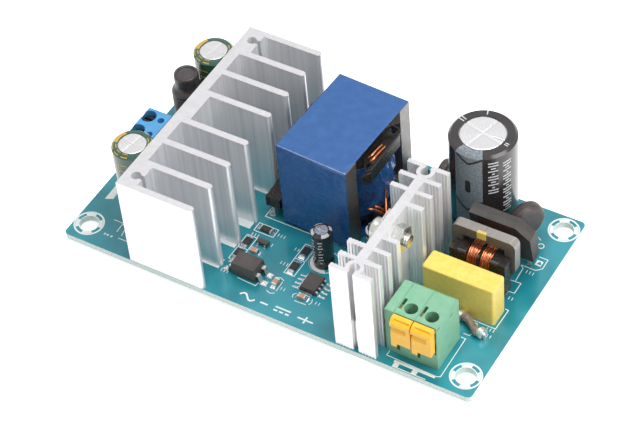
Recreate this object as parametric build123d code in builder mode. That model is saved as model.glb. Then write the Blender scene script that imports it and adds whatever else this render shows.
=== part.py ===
from build123d import *
import math
import os

os.makedirs("parts", exist_ok=True)

# Millimetres, +Z up. The origin is under the middle of the board, on the plane of the trimmed
# lead tips. +X runs to the mains input, +Y to the long edge with the large capacitor.

# Circuit board
board_length = 107.0
board_width = 57.4
board_thickness = 1.6
board_corner_radius = 1.2
lead_tip_length = 2.0
board_bottom = lead_tip_length
board_top = board_bottom + board_thickness
mount_hole_radius = 2.3
mount_spacing_x = 99.5
mount_edge_inset = 4.7
mount_center_y = 0.5

# Leads, drilled holes and solder
wire_radius = 0.35
pin_width = 0.7
leg_width = 0.8
leg_thickness = 0.5
terminal_pin_width = 1.0
lead_play = 0.1
solder_pad_radius = 1.1
solder_neck_radius = 0.5
solder_height = 1.3
anchor_pad_radius = 2.0
anchor_neck_radius = 1.3

# Output heatsink, a comb extrusion that stands across the board
output_sink_height = 25.7
output_sink_back_x = -34.6
output_sink_center_y = -0.1
output_spine = 2.65
output_fin_tip_x = -14.55
output_fin_thickness = 1.6
output_fin_count = 8
output_fin_first_offset = 4.95
output_end_fin_inset = 0.95
output_boss_depth = 4.15
output_end_depth = 4.8
port_radius = 1.15
port_inset_x = 2.9
port_neck = 1.1
port_edge_inset = 4.1
anchor_play = 0.05
anchor_grip = 9.0
anchor_tip = 0.3

# Power devices in the flat tab package, the same for both heatsinks
tab_width = 10.0
tab_height = 15.6
tab_thickness = 1.3
tab_hole_radius = 1.85
tab_hole_drop = 2.8
tab_corner = 0.8
case_gap = 0.9
case_depth = 3.1
case_draft = 0.35
leg_pitch = 2.54
leg_setback = 2.4
leg_shoulder_width = 1.3
leg_shoulder_length = 2.6
pad_thickness = 0.25
pad_margin = 1.0
device_screw_radius = 1.45
device_screw_play = 0.05
device_head_radius = 2.7
device_head_height = 1.9
device_recess_width = 0.7
device_recess_depth = 1.1
rectifier_lift = 3.6
transistor_lift = 8.2
transistor_y = -10.8
nut_flat_width = 5.5
nut_thickness = 2.4
screw_tip_past_nut = 1.2

# Switch heatsink, a small comb with fins on both sides
switch_sink_height = 25.7
switch_sink_length = 35.7
switch_sink_center_y = -10.55
switch_spine_x = 24.0
switch_spine = 2.3
switch_fin_thickness = 1.1
switch_fin_left = 4.05
switch_fin_right = 3.85
switch_fin_pitch = 3.95
switch_fins_left = 3
switch_fins_right = 4
clip_radius = 1.15
clip_wall = 0.95
clip_mouth = 1.3

# Transformer with a round-post core, taped to its bobbin
transformer_x = 1.05
transformer_y = 10.4
core_twist = -3.0
core_width = 18.8
core_length = 26.4
core_half_height = 12.35
core_back = 3.4
core_post_radius = 6.0
core_window_radius = 11.2
core_mouth = 18.6
core_notch_width = 10.6
core_notch_depth = 2.6
core_lift = 0.7
core_joint = 0.05
core_tape_thickness = 0.2
core_tape_inset = 0.15
bobbin_play = 0.2
bobbin_wall = 0.9
bobbin_flange = 0.9
bobbin_flange_radius = 10.9
bobbin_neck = 10.6
rail_inner = 11.2
rail_outer = 15.0
rail_end = 0.8
rail_drop = 1.1
rail_rise = 0.9
ledge_inner = 10.3
ledge_outer = 11.6
ledge_length = 17.0
ledge_bevel = 1.7
ledge_shift = -1.3
winding_radius = 9.9
winding_tape_radius = 10.6
winding_play = 0.1
transformer_pin_x = 13.5
transformer_pin_pitch = 3.8
transformer_pins_left = 7
transformer_pins_right = 6
pin_socket_depth = 1.8
magnet_wire_radius = 0.3

# Common-mode choke
choke_x = 40.35
choke_y = 4.2
choke_length = 15.7
choke_height = 10.0
choke_lift = 5.0
choke_bar = 2.6
choke_thickness = 2.5
choke_corner_radius = 1.6
choke_play = 0.15
choke_tube_wall = 0.6
choke_cheek = 2.1
choke_divider = 0.5
choke_flange_round = 0.8
choke_shoulder = 1.8
choke_flange_width = 8.8
choke_flange_below = 5.2
choke_flange_above = 4.2
choke_winding_width = 7.8
choke_winding_height = 7.6
choke_winding_round = 2.6
choke_clip_x = 39.95
choke_clip_width = 2.2
choke_clip_height = 1.7
choke_clip_lip = 0.6
choke_clip_thickness = 0.2

# Electrolytic capacitors
can_play = 0.04
sleeve_wall = 0.2
bulk_cap_x = 31.25
bulk_cap_y = 20.75
bulk_cap_radius = 7.85
bulk_cap_height = 26.5
bulk_disc_radius = 5.4
bulk_lead_pitch = 7.5
output_cap_x = -41.8
output_cap_front_y = -12.5
output_cap_back_y = 22.5
output_cap_radius = 4.9
output_cap_height = 20.2
output_disc_radius = 3.4
output_lead_pitch = 5.0
small_cap_x = 5.65
small_cap_y = -8.95
small_cap_radius = 2.45
small_cap_height = 11.0
small_disc_radius = 1.6
small_lead_pitch = 2.0
supply_cap_x = 16.55
supply_cap_y = -2.85
supply_cap_radius = 2.6
supply_cap_height = 11.0
supply_disc_radius = 1.9
can_rim = 0.6
can_groove_depth = 0.4
can_groove_reach = 0.8
can_groove_up = 2.2
vent_width = 0.35
vent_depth = 0.15

# Rod inductor in its sleeve
rod_x = -44.15
rod_y = 13.7
rod_radius = 2.6
rod_height = 19.0
rod_lift = 1.0
rod_winding_radius = 3.55
rod_winding_height = 12.8
rod_sleeve_wall = 0.3
rod_play = 0.1
rod_lead_pitch = 5.0

# Film capacitor across the line
film_cap_x = 39.8
film_cap_y = -5.55
film_cap_length = 17.8
film_cap_depth = 5.5
film_cap_height = 11.1
film_cap_round = 0.7
film_cap_lead_pitch = 15.0

# Bridge rectifier, leaning to the front
bridge_x = 41.7
bridge_foot_y = 11.75
bridge_lift = 3.0
bridge_lean = 12.0
bridge_width = 15.0
bridge_height = 12.4
bridge_depth = 3.0
bridge_cut = 3.4
bridge_draft = 3.0
bridge_leg_pitch = 3.8
bridge_leg_count = 4

# Inrush thermistor
thermistor_x = 43.4
thermistor_y = 17.75
thermistor_z = 7.1
thermistor_turn = -29.0
thermistor_radius = 4.5
thermistor_thickness = 3.6
thermistor_round = 1.3
thermistor_lead_pitch = 5.0

# Safety capacitor behind the switch heatsink
disc_cap_x = 19.2
disc_cap_y = 24.6
disc_cap_z = 4.6
disc_cap_radius = 3.4
disc_cap_thickness = 2.4
disc_cap_round = 0.8
disc_cap_lead_pitch = 5.0

# Fusible resistor beside the input terminal
fuse_start = (40.6, -9.6)
fuse_end = (48.6, -12.6)
fuse_radius = 1.1
fuse_cap_radius = 1.3
fuse_length = 5.6
fuse_cap_length = 1.1
fuse_lift = 1.5

# Optocoupler, control chip and small transistor
opto_x = -8.3
opto_y = -19.4
opto_size_x = 6.4
opto_size_y = 4.6
opto_height = 3.5
opto_lift = 0.25
opto_lead_pitch = 2.54
opto_lead_reach = 2.1
opto_lead_width = 1.1
chip_x = 7.05
chip_y = -16.45
chip_size_x = 3.9
chip_size_y = 4.9
chip_height = 1.5
chip_lift = 0.15
chip_lead_pitch = 1.27
chip_lead_reach = 1.05
chip_lead_width = 0.42
chip_leads_per_side = 4
gull_thickness = 0.22
package_draft = 6.0
gull_foot_share = 0.4
sot_x = -9.7
sot_y = -10.6
sot_size_x = 2.9
sot_size_y = 1.4
sot_height = 1.0
sot_lift = 0.1
sot_pitch = 1.9
sot_lead_reach = 0.55
sot_lead_width = 0.4

# Chip resistors and chip capacitors lie flat on the board
large_chip_length = 3.2
large_chip_width = 1.6
small_chip_length = 2.0
small_chip_width = 1.25
resistor_height = 0.55
chip_cap_height = 1.0
chip_end = 0.4
chip_end_step = 0.04
lone_resistor_x = -11.35
lone_resistor_y = -6.5
left_resistors_x = -13.3
left_resistors_y = -11.8
left_resistors_pitch = 3.8
middle_resistors_x = 0.35
middle_resistors_y = -8.35
middle_resistors_pitch = 5.2
front_cap_x = -0.85
front_cap_y = -19.65
chip_front_cap_x = 6.7
chip_front_cap_y = -20.6
side_cap_x = -10.3
side_cap_y = -13.6

# Input terminal with two wire holes on top and two press levers in front
input_x = 37.25
input_back_y = -14.7
input_front_y = -24.8
input_length = 12.7
input_height = 13.8
input_pitch = 5.08
input_bevel = 0.9
input_edge_round = 0.35
wire_hole_radius = 1.55
wire_hole_y = -22.25
wire_hole_overrun = 0.5
wire_hole_shift = 0.4
pole_shift = 1.01
slot_width = 0.8
slot_length = 3.1
slot_shift = -1.9
slot_y = -21.7
chamber_width = 4.4
chamber_front_y = -23.95
chamber_back_y = -16.2
chamber_roof = 9.6
pivot_y = -24.7
pivot_z = 12.6
pivot_radius = 0.45
pivot_play = 0.05
lever_gap = 0.3
lever_back_y = -25.05
lever_front_y = -27.1
lever_bottom = 6.1
lever_top = 13.7
lever_top_depth = 1.15
lever_slope = 0.4
lever_swing = 12.0
lever_pocket_bottom = 4.7
pocket_top_depth = 0.4
pocket_roof_depth = 0.65
pocket_bottom_depth = 1.9
front_slot_z = 2.7
front_slot_height = 2.6
side_slot_length = 1.1
side_slot_height = 0.4
side_slot_depth = 0.3
back_slot_y = -18.1
back_slot_z = 11.4
front_side_slot_y = -24.0
front_side_slot_z = 12.9
low_slot_y = -19.7
low_slot_z = 2.4
seam_width = 0.15
seam_depth = 0.12
ridge_round = 0.5
ridge_height = 1.8
ridge_step = 0.25
lever_nose = 0.6
lever_nose_z = 6.8
finger_length = 3.7
finger_border = 0.35
finger_depth = 0.55
dimple_length = 3.7
dimple_depth = 0.7
dimple_height = 1.7
lever_tab_width = 1.3
lever_tab_drop = 1.05
contact_thickness = 0.4
contact_width = 4.0
contact_top = 8.7
contact_foot = 0.6
contact_pin_y = -17.2
contact_bend_y = -19.8
contact_bend = 0.7
contact_tip_y = -22.2
contact_tip_z = 4.4

# Output terminal with two screws that raise wire cages
output_term_x = -49.05
output_term_y = 2.3
output_term_depth = 7.7
output_term_length = 10.16
output_term_height = 10.0
output_term_pitch = 5.08
output_term_bevel = 1.2
screw_offset_x = -1.15
screw_hole_radius = 1.9
screw_head_radius = 1.65
screw_head_height = 1.4
screw_head_seat = 7.4
screw_slot_width = 0.6
screw_slot_depth = 0.7
screw_shank_radius = 1.25
screw_shank_play = 0.1
thread_play = 0.05
shelf_thickness = 0.6
cage_width = 4.0
cage_depth = 3.2
cage_wall = 0.5
cage_floor = 0.5
cage_roof = 0.8
cage_lift = 0.5
cage_wire_space = 2.2
cage_play = 0.3
busbar_thickness = 0.5
busbar_width = 2.2
busbar_gap = 0.3
entry_radius = 1.45
entry_flare = 0.35
probe_hole_radius = 0.85
probe_offset_x = 2.3
probe_depth = 3.0


def pair(center, pitch, direction):
    # Two points, half a pitch to each side of a centre, along a direction in degrees
    dx = pitch / 2 * math.cos(math.radians(direction))
    dy = pitch / 2 * math.sin(math.radians(direction))
    return [(center[0] - dx, center[1] - dy), (center[0] + dx, center[1] + dy)]


def row(center, pitch, count, direction):
    # A straight row of points about a centre, along a direction in degrees
    points = []
    for step in range(count):
        reach = (step - (count - 1) / 2) * pitch
        dx = reach * math.cos(math.radians(direction))
        dy = reach * math.sin(math.radians(direction))
        points.append((center[0] + dx, center[1] + dy))
    return points


# Places of all leads, which the board, the solder and the parts share
output_cap_centers = [(output_cap_x, output_cap_front_y), (output_cap_x, output_cap_back_y)]
bulk_lead_points = pair((bulk_cap_x, bulk_cap_y), bulk_lead_pitch, 0)
output_lead_points = []
for center in output_cap_centers:
    output_lead_points += pair(center, output_lead_pitch, 90)
small_lead_points = pair((small_cap_x, small_cap_y), small_lead_pitch, 0)
supply_lead_points = pair((supply_cap_x, supply_cap_y), small_lead_pitch, 0)
rod_lead_points = pair((rod_x, rod_y), rod_lead_pitch, 90)
film_lead_points = pair((film_cap_x, film_cap_y), film_cap_lead_pitch, 0)
thermistor_center = (thermistor_x, thermistor_y)
thermistor_lead_points = pair(thermistor_center, thermistor_lead_pitch, thermistor_turn + 90)
disc_cap_lead_points = pair((disc_cap_x, disc_cap_y), disc_cap_lead_pitch, 90)
fuse_lead_points = [fuse_start, fuse_end]
wire_points = bulk_lead_points + output_lead_points + small_lead_points + supply_lead_points
wire_points += rod_lead_points + film_lead_points + thermistor_lead_points
wire_points += disc_cap_lead_points + fuse_lead_points

rectifier_leg_x = output_sink_back_x - pad_thickness - leg_setback
rectifier_leg_points = row((rectifier_leg_x, output_sink_center_y), leg_pitch, 3, 90)
transistor_leg_x = switch_spine_x - pad_thickness - leg_setback
transistor_leg_points = row((transistor_leg_x, transistor_y), leg_pitch, 3, 90)
bridge_leg_y = bridge_foot_y
bridge_leg_points = row((bridge_x, bridge_leg_y), bridge_leg_pitch, bridge_leg_count, 0)
leg_points = rectifier_leg_points + transistor_leg_points + bridge_leg_points

transformer_pin_points = []
rail_back_pin_y = transformer_y + (transformer_pins_left - 1) * transformer_pin_pitch / 2
for side, count in ((-1, transformer_pins_left), (1, transformer_pins_right)):
    rail_middle_y = rail_back_pin_y - (count - 1) * transformer_pin_pitch / 2
    rail_center = (transformer_x + side * transformer_pin_x, rail_middle_y)
    transformer_pin_points += row(rail_center, transformer_pin_pitch, count, 90)
choke_inner_length = choke_length - 2 * choke_bar - 2 * choke_play
choke_pin_spacing_x = choke_inner_length - choke_cheek
choke_pin_spacing_y = choke_flange_width - 2 * pin_width
choke_pin_points = []
for side in (-1, 1):
    choke_side = (choke_x + side * choke_pin_spacing_x / 2, choke_y)
    choke_pin_points += pair(choke_side, choke_pin_spacing_y, 90)
pin_points = transformer_pin_points + choke_pin_points

pole_centers = []
for point in row((input_x + pole_shift, contact_pin_y), input_pitch, 2, 0):
    pole_centers.append(point[0])
input_pin_points = [(pole_x, contact_pin_y) for pole_x in pole_centers]
screw_x = output_term_x + screw_offset_x
screw_ys = [point[1] for point in pair((screw_x, output_term_y), output_term_pitch, 90)]
busbar_pin_x = screw_x + cage_depth / 2 + cage_play + busbar_thickness / 2
output_pin_points = [(busbar_pin_x, screw_y) for screw_y in screw_ys]
terminal_pin_points = input_pin_points + output_pin_points

port_x = output_sink_back_x + port_inset_x
port_offset_y = board_width / 2 - port_edge_inset
output_anchor_points = pair((port_x, output_sink_center_y), 2 * port_offset_y, 90)
clip_inset_y = clip_radius + clip_wall
clip_pitch = switch_sink_length - 2 * clip_inset_y
clip_x = switch_spine_x + switch_spine / 2
switch_anchor_points = pair((clip_x, switch_sink_center_y), clip_pitch, 90)
output_anchor_radius = port_radius - anchor_play
switch_anchor_radius = clip_radius - anchor_play
anchor_points = output_anchor_points + switch_anchor_points

mount_points = []
mount_spacing_y = board_width - 2 * mount_edge_inset
for side in (-1, 1):
    mount_side = (side * mount_spacing_x / 2, mount_center_y)
    mount_points += pair(mount_side, mount_spacing_y, 90)

wire_hole = wire_radius + lead_play
leg_hole = math.hypot(leg_width, leg_thickness) / 2 + lead_play
pin_hole = math.hypot(pin_width, pin_width) / 2 + lead_play
terminal_hole = math.hypot(terminal_pin_width, busbar_thickness) / 2 + lead_play
anchor_hole = output_anchor_radius + lead_play

# Board, drilled for its corner screws and for every lead
with BuildPart() as circuit_board:
    with BuildSketch(Plane.XY.offset(board_bottom)):
        RectangleRounded(board_length, board_width, board_corner_radius)
        with Locations(*mount_points):
            Circle(mount_hole_radius, mode=Mode.SUBTRACT)
        with Locations(*wire_points):
            Circle(wire_hole, mode=Mode.SUBTRACT)
        with Locations(*leg_points):
            Circle(leg_hole, mode=Mode.SUBTRACT)
        with Locations(*pin_points):
            Circle(pin_hole, mode=Mode.SUBTRACT)
        with Locations(*terminal_pin_points):
            Circle(terminal_hole, mode=Mode.SUBTRACT)
        with Locations(*anchor_points):
            Circle(anchor_hole, mode=Mode.SUBTRACT)
    extrude(amount=board_thickness)

circuit_board.part.label = "circuit_board"
export_step(circuit_board.part, "parts/circuit_board.step")

# Solder cones under the board, each with the clipped tip of its lead
solder_points = wire_points + leg_points + pin_points + terminal_pin_points
cone_align = (Align.CENTER, Align.CENTER, Align.MIN)
with BuildPart() as solder_joints:
    with Locations(*[(x, y, board_bottom - solder_height) for x, y in solder_points]):
        Cone(solder_neck_radius, solder_pad_radius, solder_height, align=cone_align)
    with Locations(*[(x, y, 0) for x, y in solder_points]):
        Cylinder(wire_radius, board_bottom - solder_height, align=cone_align)
    with Locations(*[(x, y, board_bottom - solder_height) for x, y in anchor_points]):
        Cone(anchor_neck_radius, anchor_pad_radius, solder_height, align=cone_align)

solder_joints.part.label = "solder_joints"
export_step(solder_joints.part, "parts/solder_joints.step")

# Output heatsink: spine, eight fins, a thick middle for the screw, a pin port at each end
output_fin_reach = output_fin_tip_x - output_sink_back_x
output_fin_offsets = []
output_fin_steps = output_fin_count // 2 - 1
output_fin_span = board_width / 2 - output_end_fin_inset - output_fin_first_offset
output_fin_pitch = output_fin_span / output_fin_steps
for step in range(output_fin_count // 2):
    output_fin_offsets.append(output_fin_first_offset + step * output_fin_pitch)
output_sink_length = 2 * output_fin_offsets[-1] + output_fin_thickness
output_sink_plane = Plane((output_sink_back_x, output_sink_center_y, board_top))
end_pocket_middle = output_fin_offsets[-1] - output_fin_pitch / 2
rectifier_screw_z = board_top + rectifier_lift + tab_height - tab_hole_drop
with BuildPart() as output_heatsink:
    with BuildSketch(output_sink_plane):
        Rectangle(output_spine, output_sink_length, align=(Align.MIN, Align.CENTER))
        Rectangle(output_boss_depth, 2 * output_fin_offsets[0], align=(Align.MIN, Align.CENTER))
        for side in (-1, 1):
            with Locations((0, side * end_pocket_middle)):
                Rectangle(output_end_depth, output_fin_pitch, align=(Align.MIN, Align.CENTER))
            for offset_y in output_fin_offsets:
                fin_straight = output_fin_reach - output_fin_thickness / 2
                with Locations((0, side * offset_y)):
                    Rectangle(fin_straight, output_fin_thickness, align=(Align.MIN, Align.CENTER))
                with Locations((fin_straight, side * offset_y)):
                    Circle(output_fin_thickness / 2)
            with Locations((port_inset_x, side * port_offset_y)):
                Circle(port_radius, mode=Mode.SUBTRACT)
                Rectangle(
                    output_end_depth,
                    port_neck,
                    align=(Align.MIN, Align.CENTER),
                    mode=Mode.SUBTRACT,
                )
    extrude(amount=output_sink_height)
    rectifier_hole = (output_sink_back_x, output_sink_center_y, rectifier_screw_z)
    with BuildSketch(Plane(rectifier_hole, z_dir=(1, 0, 0))):
        Circle(device_screw_radius + device_screw_play)
    extrude(amount=output_boss_depth, mode=Mode.SUBTRACT)

output_heatsink.part.label = "output_heatsink"
export_step(output_heatsink.part, "parts/output_heatsink.step")

# Switch heatsink: fins on both sides, with a gap for the transistor and one for its nut
switch_sink_plane = Plane((clip_x, switch_sink_center_y, board_top))
switch_half = switch_sink_length / 2
switch_end_fin = switch_half - switch_fin_thickness / 2
left_reach = switch_spine / 2 + switch_fin_left
right_reach = switch_spine / 2 + switch_fin_right
clip_center = switch_half - clip_inset_y
transistor_screw_z = board_top + transistor_lift + tab_height - tab_hole_drop
with BuildPart() as switch_heatsink:
    with BuildSketch(switch_sink_plane):
        Rectangle(switch_spine, 2 * clip_center)
        for side in (-1, 1):
            for step in range(switch_fins_left):
                with Locations((0, side * (switch_end_fin - step * switch_fin_pitch))):
                    Rectangle(left_reach, switch_fin_thickness, align=(Align.MAX, Align.CENTER))
            for step in range(switch_fins_right):
                with Locations((0, side * (switch_end_fin - step * switch_fin_pitch))):
                    Rectangle(right_reach, switch_fin_thickness, align=(Align.MIN, Align.CENTER))
            with Locations((0, side * clip_center)):
                Circle(clip_radius + clip_wall)
                Circle(clip_radius, mode=Mode.SUBTRACT)
            with Locations((0, side * (clip_center + clip_inset_y / 2))):
                Rectangle(clip_mouth, clip_inset_y, mode=Mode.SUBTRACT)
    extrude(amount=switch_sink_height)
    transistor_hole = (switch_spine_x, transistor_y, transistor_screw_z)
    with BuildSketch(Plane(transistor_hole, z_dir=(1, 0, 0))):
        Circle(device_screw_radius + device_screw_play)
    extrude(amount=switch_spine, mode=Mode.SUBTRACT)

switch_heatsink.part.label = "switch_heatsink"
export_step(switch_heatsink.part, "parts/switch_heatsink.step")

# Round pins pressed up into the ports and slots, which anchor both heatsinks to the board
with BuildPart() as heatsink_pins:
    with Locations(*[(x, y, board_bottom) for x, y in output_anchor_points]):
        Cylinder(output_anchor_radius, board_thickness + anchor_grip, align=cone_align)
    with Locations(*[(x, y, board_bottom) for x, y in switch_anchor_points]):
        Cylinder(switch_anchor_radius, board_thickness + anchor_grip, align=cone_align)
    chamfer(heatsink_pins.faces().group_by(Axis.Z)[-1].edges(), anchor_tip)

heatsink_pins.part.label = "heatsink_pins"
export_step(heatsink_pins.part, "parts/heatsink_pins.step")


def device_face(face_x, device_y, lift):
    # Heatsink face behind a device: x runs along the heatsink and y up from the foot of the case
    return Plane((face_x, device_y, board_top + lift), x_dir=(0, -1, 0), z_dir=(-1, 0, 0))


# Both power devices sit on the -X face of their heatsink, each on an insulating pad
nut_grip = switch_spine + nut_thickness + screw_tip_past_nut
rectifier_face = device_face(output_sink_back_x, output_sink_center_y, rectifier_lift)
transistor_face = device_face(switch_spine_x, transistor_y, transistor_lift)
hole_height = tab_height - tab_hole_drop
case_height = hole_height - device_head_radius - case_gap
with BuildPart() as insulating_pads:
    for face_plane in (rectifier_face, transistor_face):
        with BuildSketch(face_plane):
            with Locations((0, tab_height / 2)):
                Rectangle(tab_width + pad_margin, tab_height + pad_margin)
            with Locations((0, hole_height)):
                Circle(tab_hole_radius, mode=Mode.SUBTRACT)
        extrude(amount=pad_thickness)

insulating_pads.part.label = "insulating_pads"
export_step(insulating_pads.part, "parts/insulating_pads.step")

# Metal frame with tab and legs, moulded case, and the screw through the tab
devices = (
    ("rectifier", rectifier_face, output_boss_depth),
    ("transistor", transistor_face, nut_grip),
)
for device, face_plane, grip in devices:
    tab_plane = face_plane.offset(pad_thickness)
    case_plane = tab_plane.offset(tab_thickness)
    leg_length = face_plane.origin.Z - board_bottom

    with BuildPart() as frame:
        with BuildSketch(tab_plane) as tab_outline:
            Rectangle(tab_width, tab_height, align=(Align.CENTER, Align.MIN))
            chamfer(tab_outline.vertices().group_by(Axis.Y)[-1], tab_corner)
            with Locations((0, hole_height)):
                Circle(tab_hole_radius, mode=Mode.SUBTRACT)
        extrude(amount=tab_thickness)
        with BuildSketch(face_plane.offset(pad_thickness + leg_setback - leg_thickness / 2)):
            with Locations(*[(step * leg_pitch, 0) for step in (-1, 0, 1)]):
                Rectangle(leg_shoulder_width, leg_shoulder_length, align=(Align.CENTER, Align.MAX))
                Rectangle(leg_width, leg_length, align=(Align.CENTER, Align.MAX))
        extrude(amount=leg_thickness)
    frame.part.label = device + "_frame"
    export_step(frame.part, "parts/" + frame.part.label + ".step")

    with BuildPart() as case:
        with BuildSketch(case_plane):
            Rectangle(tab_width, case_height, align=(Align.CENTER, Align.MIN))
        extrude(amount=case_depth, taper=math.degrees(math.atan(case_draft / case_depth)))
        chamfer(case.faces().sort_by(Axis.X)[0].edges().sort_by(Axis.Z)[-1], 2 * case_draft)
    case.part.label = device + "_case"
    export_step(case.part, "parts/" + case.part.label + ".step")

    screw_plane = face_plane.shift_origin(face_plane.from_local_coords((0, hole_height, 0)))
    with BuildPart() as screw:
        with BuildSketch(screw_plane.offset(pad_thickness + tab_thickness)):
            Circle(device_head_radius)
        extrude(amount=device_head_height)
        fillet(screw.faces().sort_by(Axis.X)[0].edges(), device_head_height / 2)
        with BuildSketch(screw_plane.offset(pad_thickness + tab_thickness)):
            Circle(device_screw_radius)
        extrude(amount=-(pad_thickness + tab_thickness + grip))
        with BuildSketch(screw_plane.offset(pad_thickness + tab_thickness + device_head_height)):
            Rectangle(device_head_radius, device_recess_width)
            Rectangle(device_recess_width, device_head_radius)
        extrude(amount=-device_recess_depth, mode=Mode.SUBTRACT)
    screw.part.label = device + "_screw"
    export_step(screw.part, "parts/" + screw.part.label + ".step")

# Nut on the far side of the switch heatsink
nut_seat = (switch_spine_x + switch_spine, transistor_y, transistor_screw_z)
nut_plane = Plane(nut_seat, z_dir=(1, 0, 0))
with BuildPart() as transistor_nut:
    with BuildSketch(nut_plane):
        RegularPolygon(nut_flat_width / 2, 6, major_radius=False)
        Circle(device_screw_radius + device_screw_play, mode=Mode.SUBTRACT)
    extrude(amount=nut_thickness)

transistor_nut.part.label = "transistor_nut"
export_step(transistor_nut.part, "parts/transistor_nut.step")

# Transformer core: two halves, each a notched back plate, a round post and two hollowed end limbs
core_bottom = board_top + core_lift
core_middle = core_bottom + core_half_height
core_top = core_middle + core_half_height
twist = math.radians(core_twist)
core_x_dir = (math.cos(twist), math.sin(twist), 0)
lower_back = Plane((transformer_x, transformer_y, core_bottom), x_dir=core_x_dir, z_dir=(0, 0, 1))
upper_back = Plane((transformer_x, transformer_y, core_top), x_dir=core_x_dir, z_dir=(0, 0, -1))
with BuildPart() as transformer_core:
    for back in (lower_back, upper_back):
        with BuildSketch(back):
            Rectangle(core_width, core_length)
            for side in (-1, 1):
                with BuildLine():
                    Polyline(
                        (side * core_width / 2, -core_mouth / 2),
                        (side * (core_width / 2 - core_notch_depth), -core_notch_width / 2),
                        (side * (core_width / 2 - core_notch_depth), core_notch_width / 2),
                        (side * core_width / 2, core_mouth / 2),
                        close=True,
                    )
                make_face(mode=Mode.SUBTRACT)
        extrude(amount=core_back)
        with BuildSketch(back.offset(core_back)):
            Rectangle(core_width, core_length)
            Rectangle(core_width, core_mouth, mode=Mode.SUBTRACT)
            Circle(core_window_radius, mode=Mode.SUBTRACT)
            Circle(core_post_radius)
        extrude(amount=core_half_height - core_back - core_joint / 2)

transformer_core.part.label = "transformer_core"
export_step(transformer_core.part, "parts/transformer_core.step")

# Tape loop that holds the two halves together, over the top and round both ends
core_y_dir = (-core_x_dir[1], core_x_dir[0], 0)
core_center = (transformer_x, transformer_y, core_middle)
tape_loop_plane = Plane(core_center, x_dir=core_y_dir, z_dir=core_x_dir)
with BuildPart() as transformer_core_tape:
    with BuildSketch(tape_loop_plane):
        loop_length = core_length + 2 * core_tape_thickness
        loop_height = 2 * core_half_height + 2 * core_tape_thickness
        RectangleRounded(loop_length, loop_height, core_tape_thickness)
        Rectangle(core_length, 2 * core_half_height, mode=Mode.SUBTRACT)
    extrude(amount=core_width / 2 - core_tape_inset, both=True)

transformer_core_tape.part.label = "transformer_core_tape"
export_step(transformer_core_tape.part, "parts/transformer_core_tape.step")

# Bobbin: tube, two flanges, a pin rail on each side below and a bevelled ledge above
window_bottom = core_bottom + core_back
window_top = core_top - core_back
tube_radius = core_post_radius + bobbin_play + bobbin_wall
flange_top_z = window_bottom + bobbin_flange
upper_flange_z = window_top - bobbin_play - bobbin_flange
rail_bottom = window_bottom - rail_drop
rail_top = flange_top_z + rail_rise
rail_width = rail_outer - rail_inner
with BuildPart() as transformer_bobbin:
    with BuildSketch(Plane((transformer_x, transformer_y, window_bottom))):
        Circle(tube_radius)
    extrude(amount=window_top - bobbin_play - window_bottom)
    for flange_z in (window_bottom, upper_flange_z):
        with BuildSketch(Plane((transformer_x, transformer_y, flange_z))):
            Circle(bobbin_flange_radius)
            Rectangle(2 * rail_inner, bobbin_neck)
        extrude(amount=bobbin_flange)
    with BuildSketch(Plane((transformer_x, transformer_y + ledge_shift, upper_flange_z))):
        for side in (-1, 1):
            with BuildLine():
                Polyline(
                    (side * ledge_inner, -ledge_length / 2),
                    (side * ledge_outer, -ledge_length / 2 + ledge_bevel),
                    (side * ledge_outer, ledge_length / 2 - ledge_bevel),
                    (side * ledge_inner, ledge_length / 2),
                    close=True,
                )
            make_face()
    extrude(amount=bobbin_flange)
    for side, count in ((-1, transformer_pins_left), (1, transformer_pins_right)):
        rail_length = (count - 1) * transformer_pin_pitch + 2 * rail_end
        rail_middle = rail_back_pin_y - (count - 1) * transformer_pin_pitch / 2
        rail_x = transformer_x + side * (rail_inner + rail_outer) / 2
        with BuildSketch(Plane((rail_x, rail_middle, rail_bottom))):
            Rectangle(rail_width, rail_length)
        extrude(amount=rail_top - rail_bottom)
    with BuildSketch(Plane((transformer_x, transformer_y, window_bottom))):
        Circle(core_post_radius + bobbin_play)
    extrude(amount=window_top - window_bottom, mode=Mode.SUBTRACT)
    with BuildSketch(Plane.XY.offset(rail_bottom)):
        with Locations(*transformer_pin_points):
            Rectangle(pin_width + lead_play, pin_width + lead_play)
    extrude(amount=pin_socket_depth, mode=Mode.SUBTRACT)

transformer_bobbin.part.label = "transformer_bobbin"
export_step(transformer_bobbin.part, "parts/transformer_bobbin.step")

# Winding between the flanges, and the tape round it
winding_bottom = flange_top_z + winding_play
winding_height = upper_flange_z - winding_play - winding_bottom
with BuildPart() as transformer_winding:
    with BuildSketch(Plane((transformer_x, transformer_y, winding_bottom))):
        Circle(winding_radius)
        Circle(tube_radius + winding_play, mode=Mode.SUBTRACT)
    extrude(amount=winding_height)

transformer_winding.part.label = "transformer_winding"
export_step(transformer_winding.part, "parts/transformer_winding.step")

with BuildPart() as transformer_winding_tape:
    with BuildSketch(Plane((transformer_x, transformer_y, winding_bottom))):
        Circle(winding_tape_radius)
        Circle(winding_radius + can_play, mode=Mode.SUBTRACT)
    extrude(amount=winding_height)

transformer_winding_tape.part.label = "transformer_winding_tape"
export_step(transformer_winding_tape.part, "parts/transformer_winding_tape.step")

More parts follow.
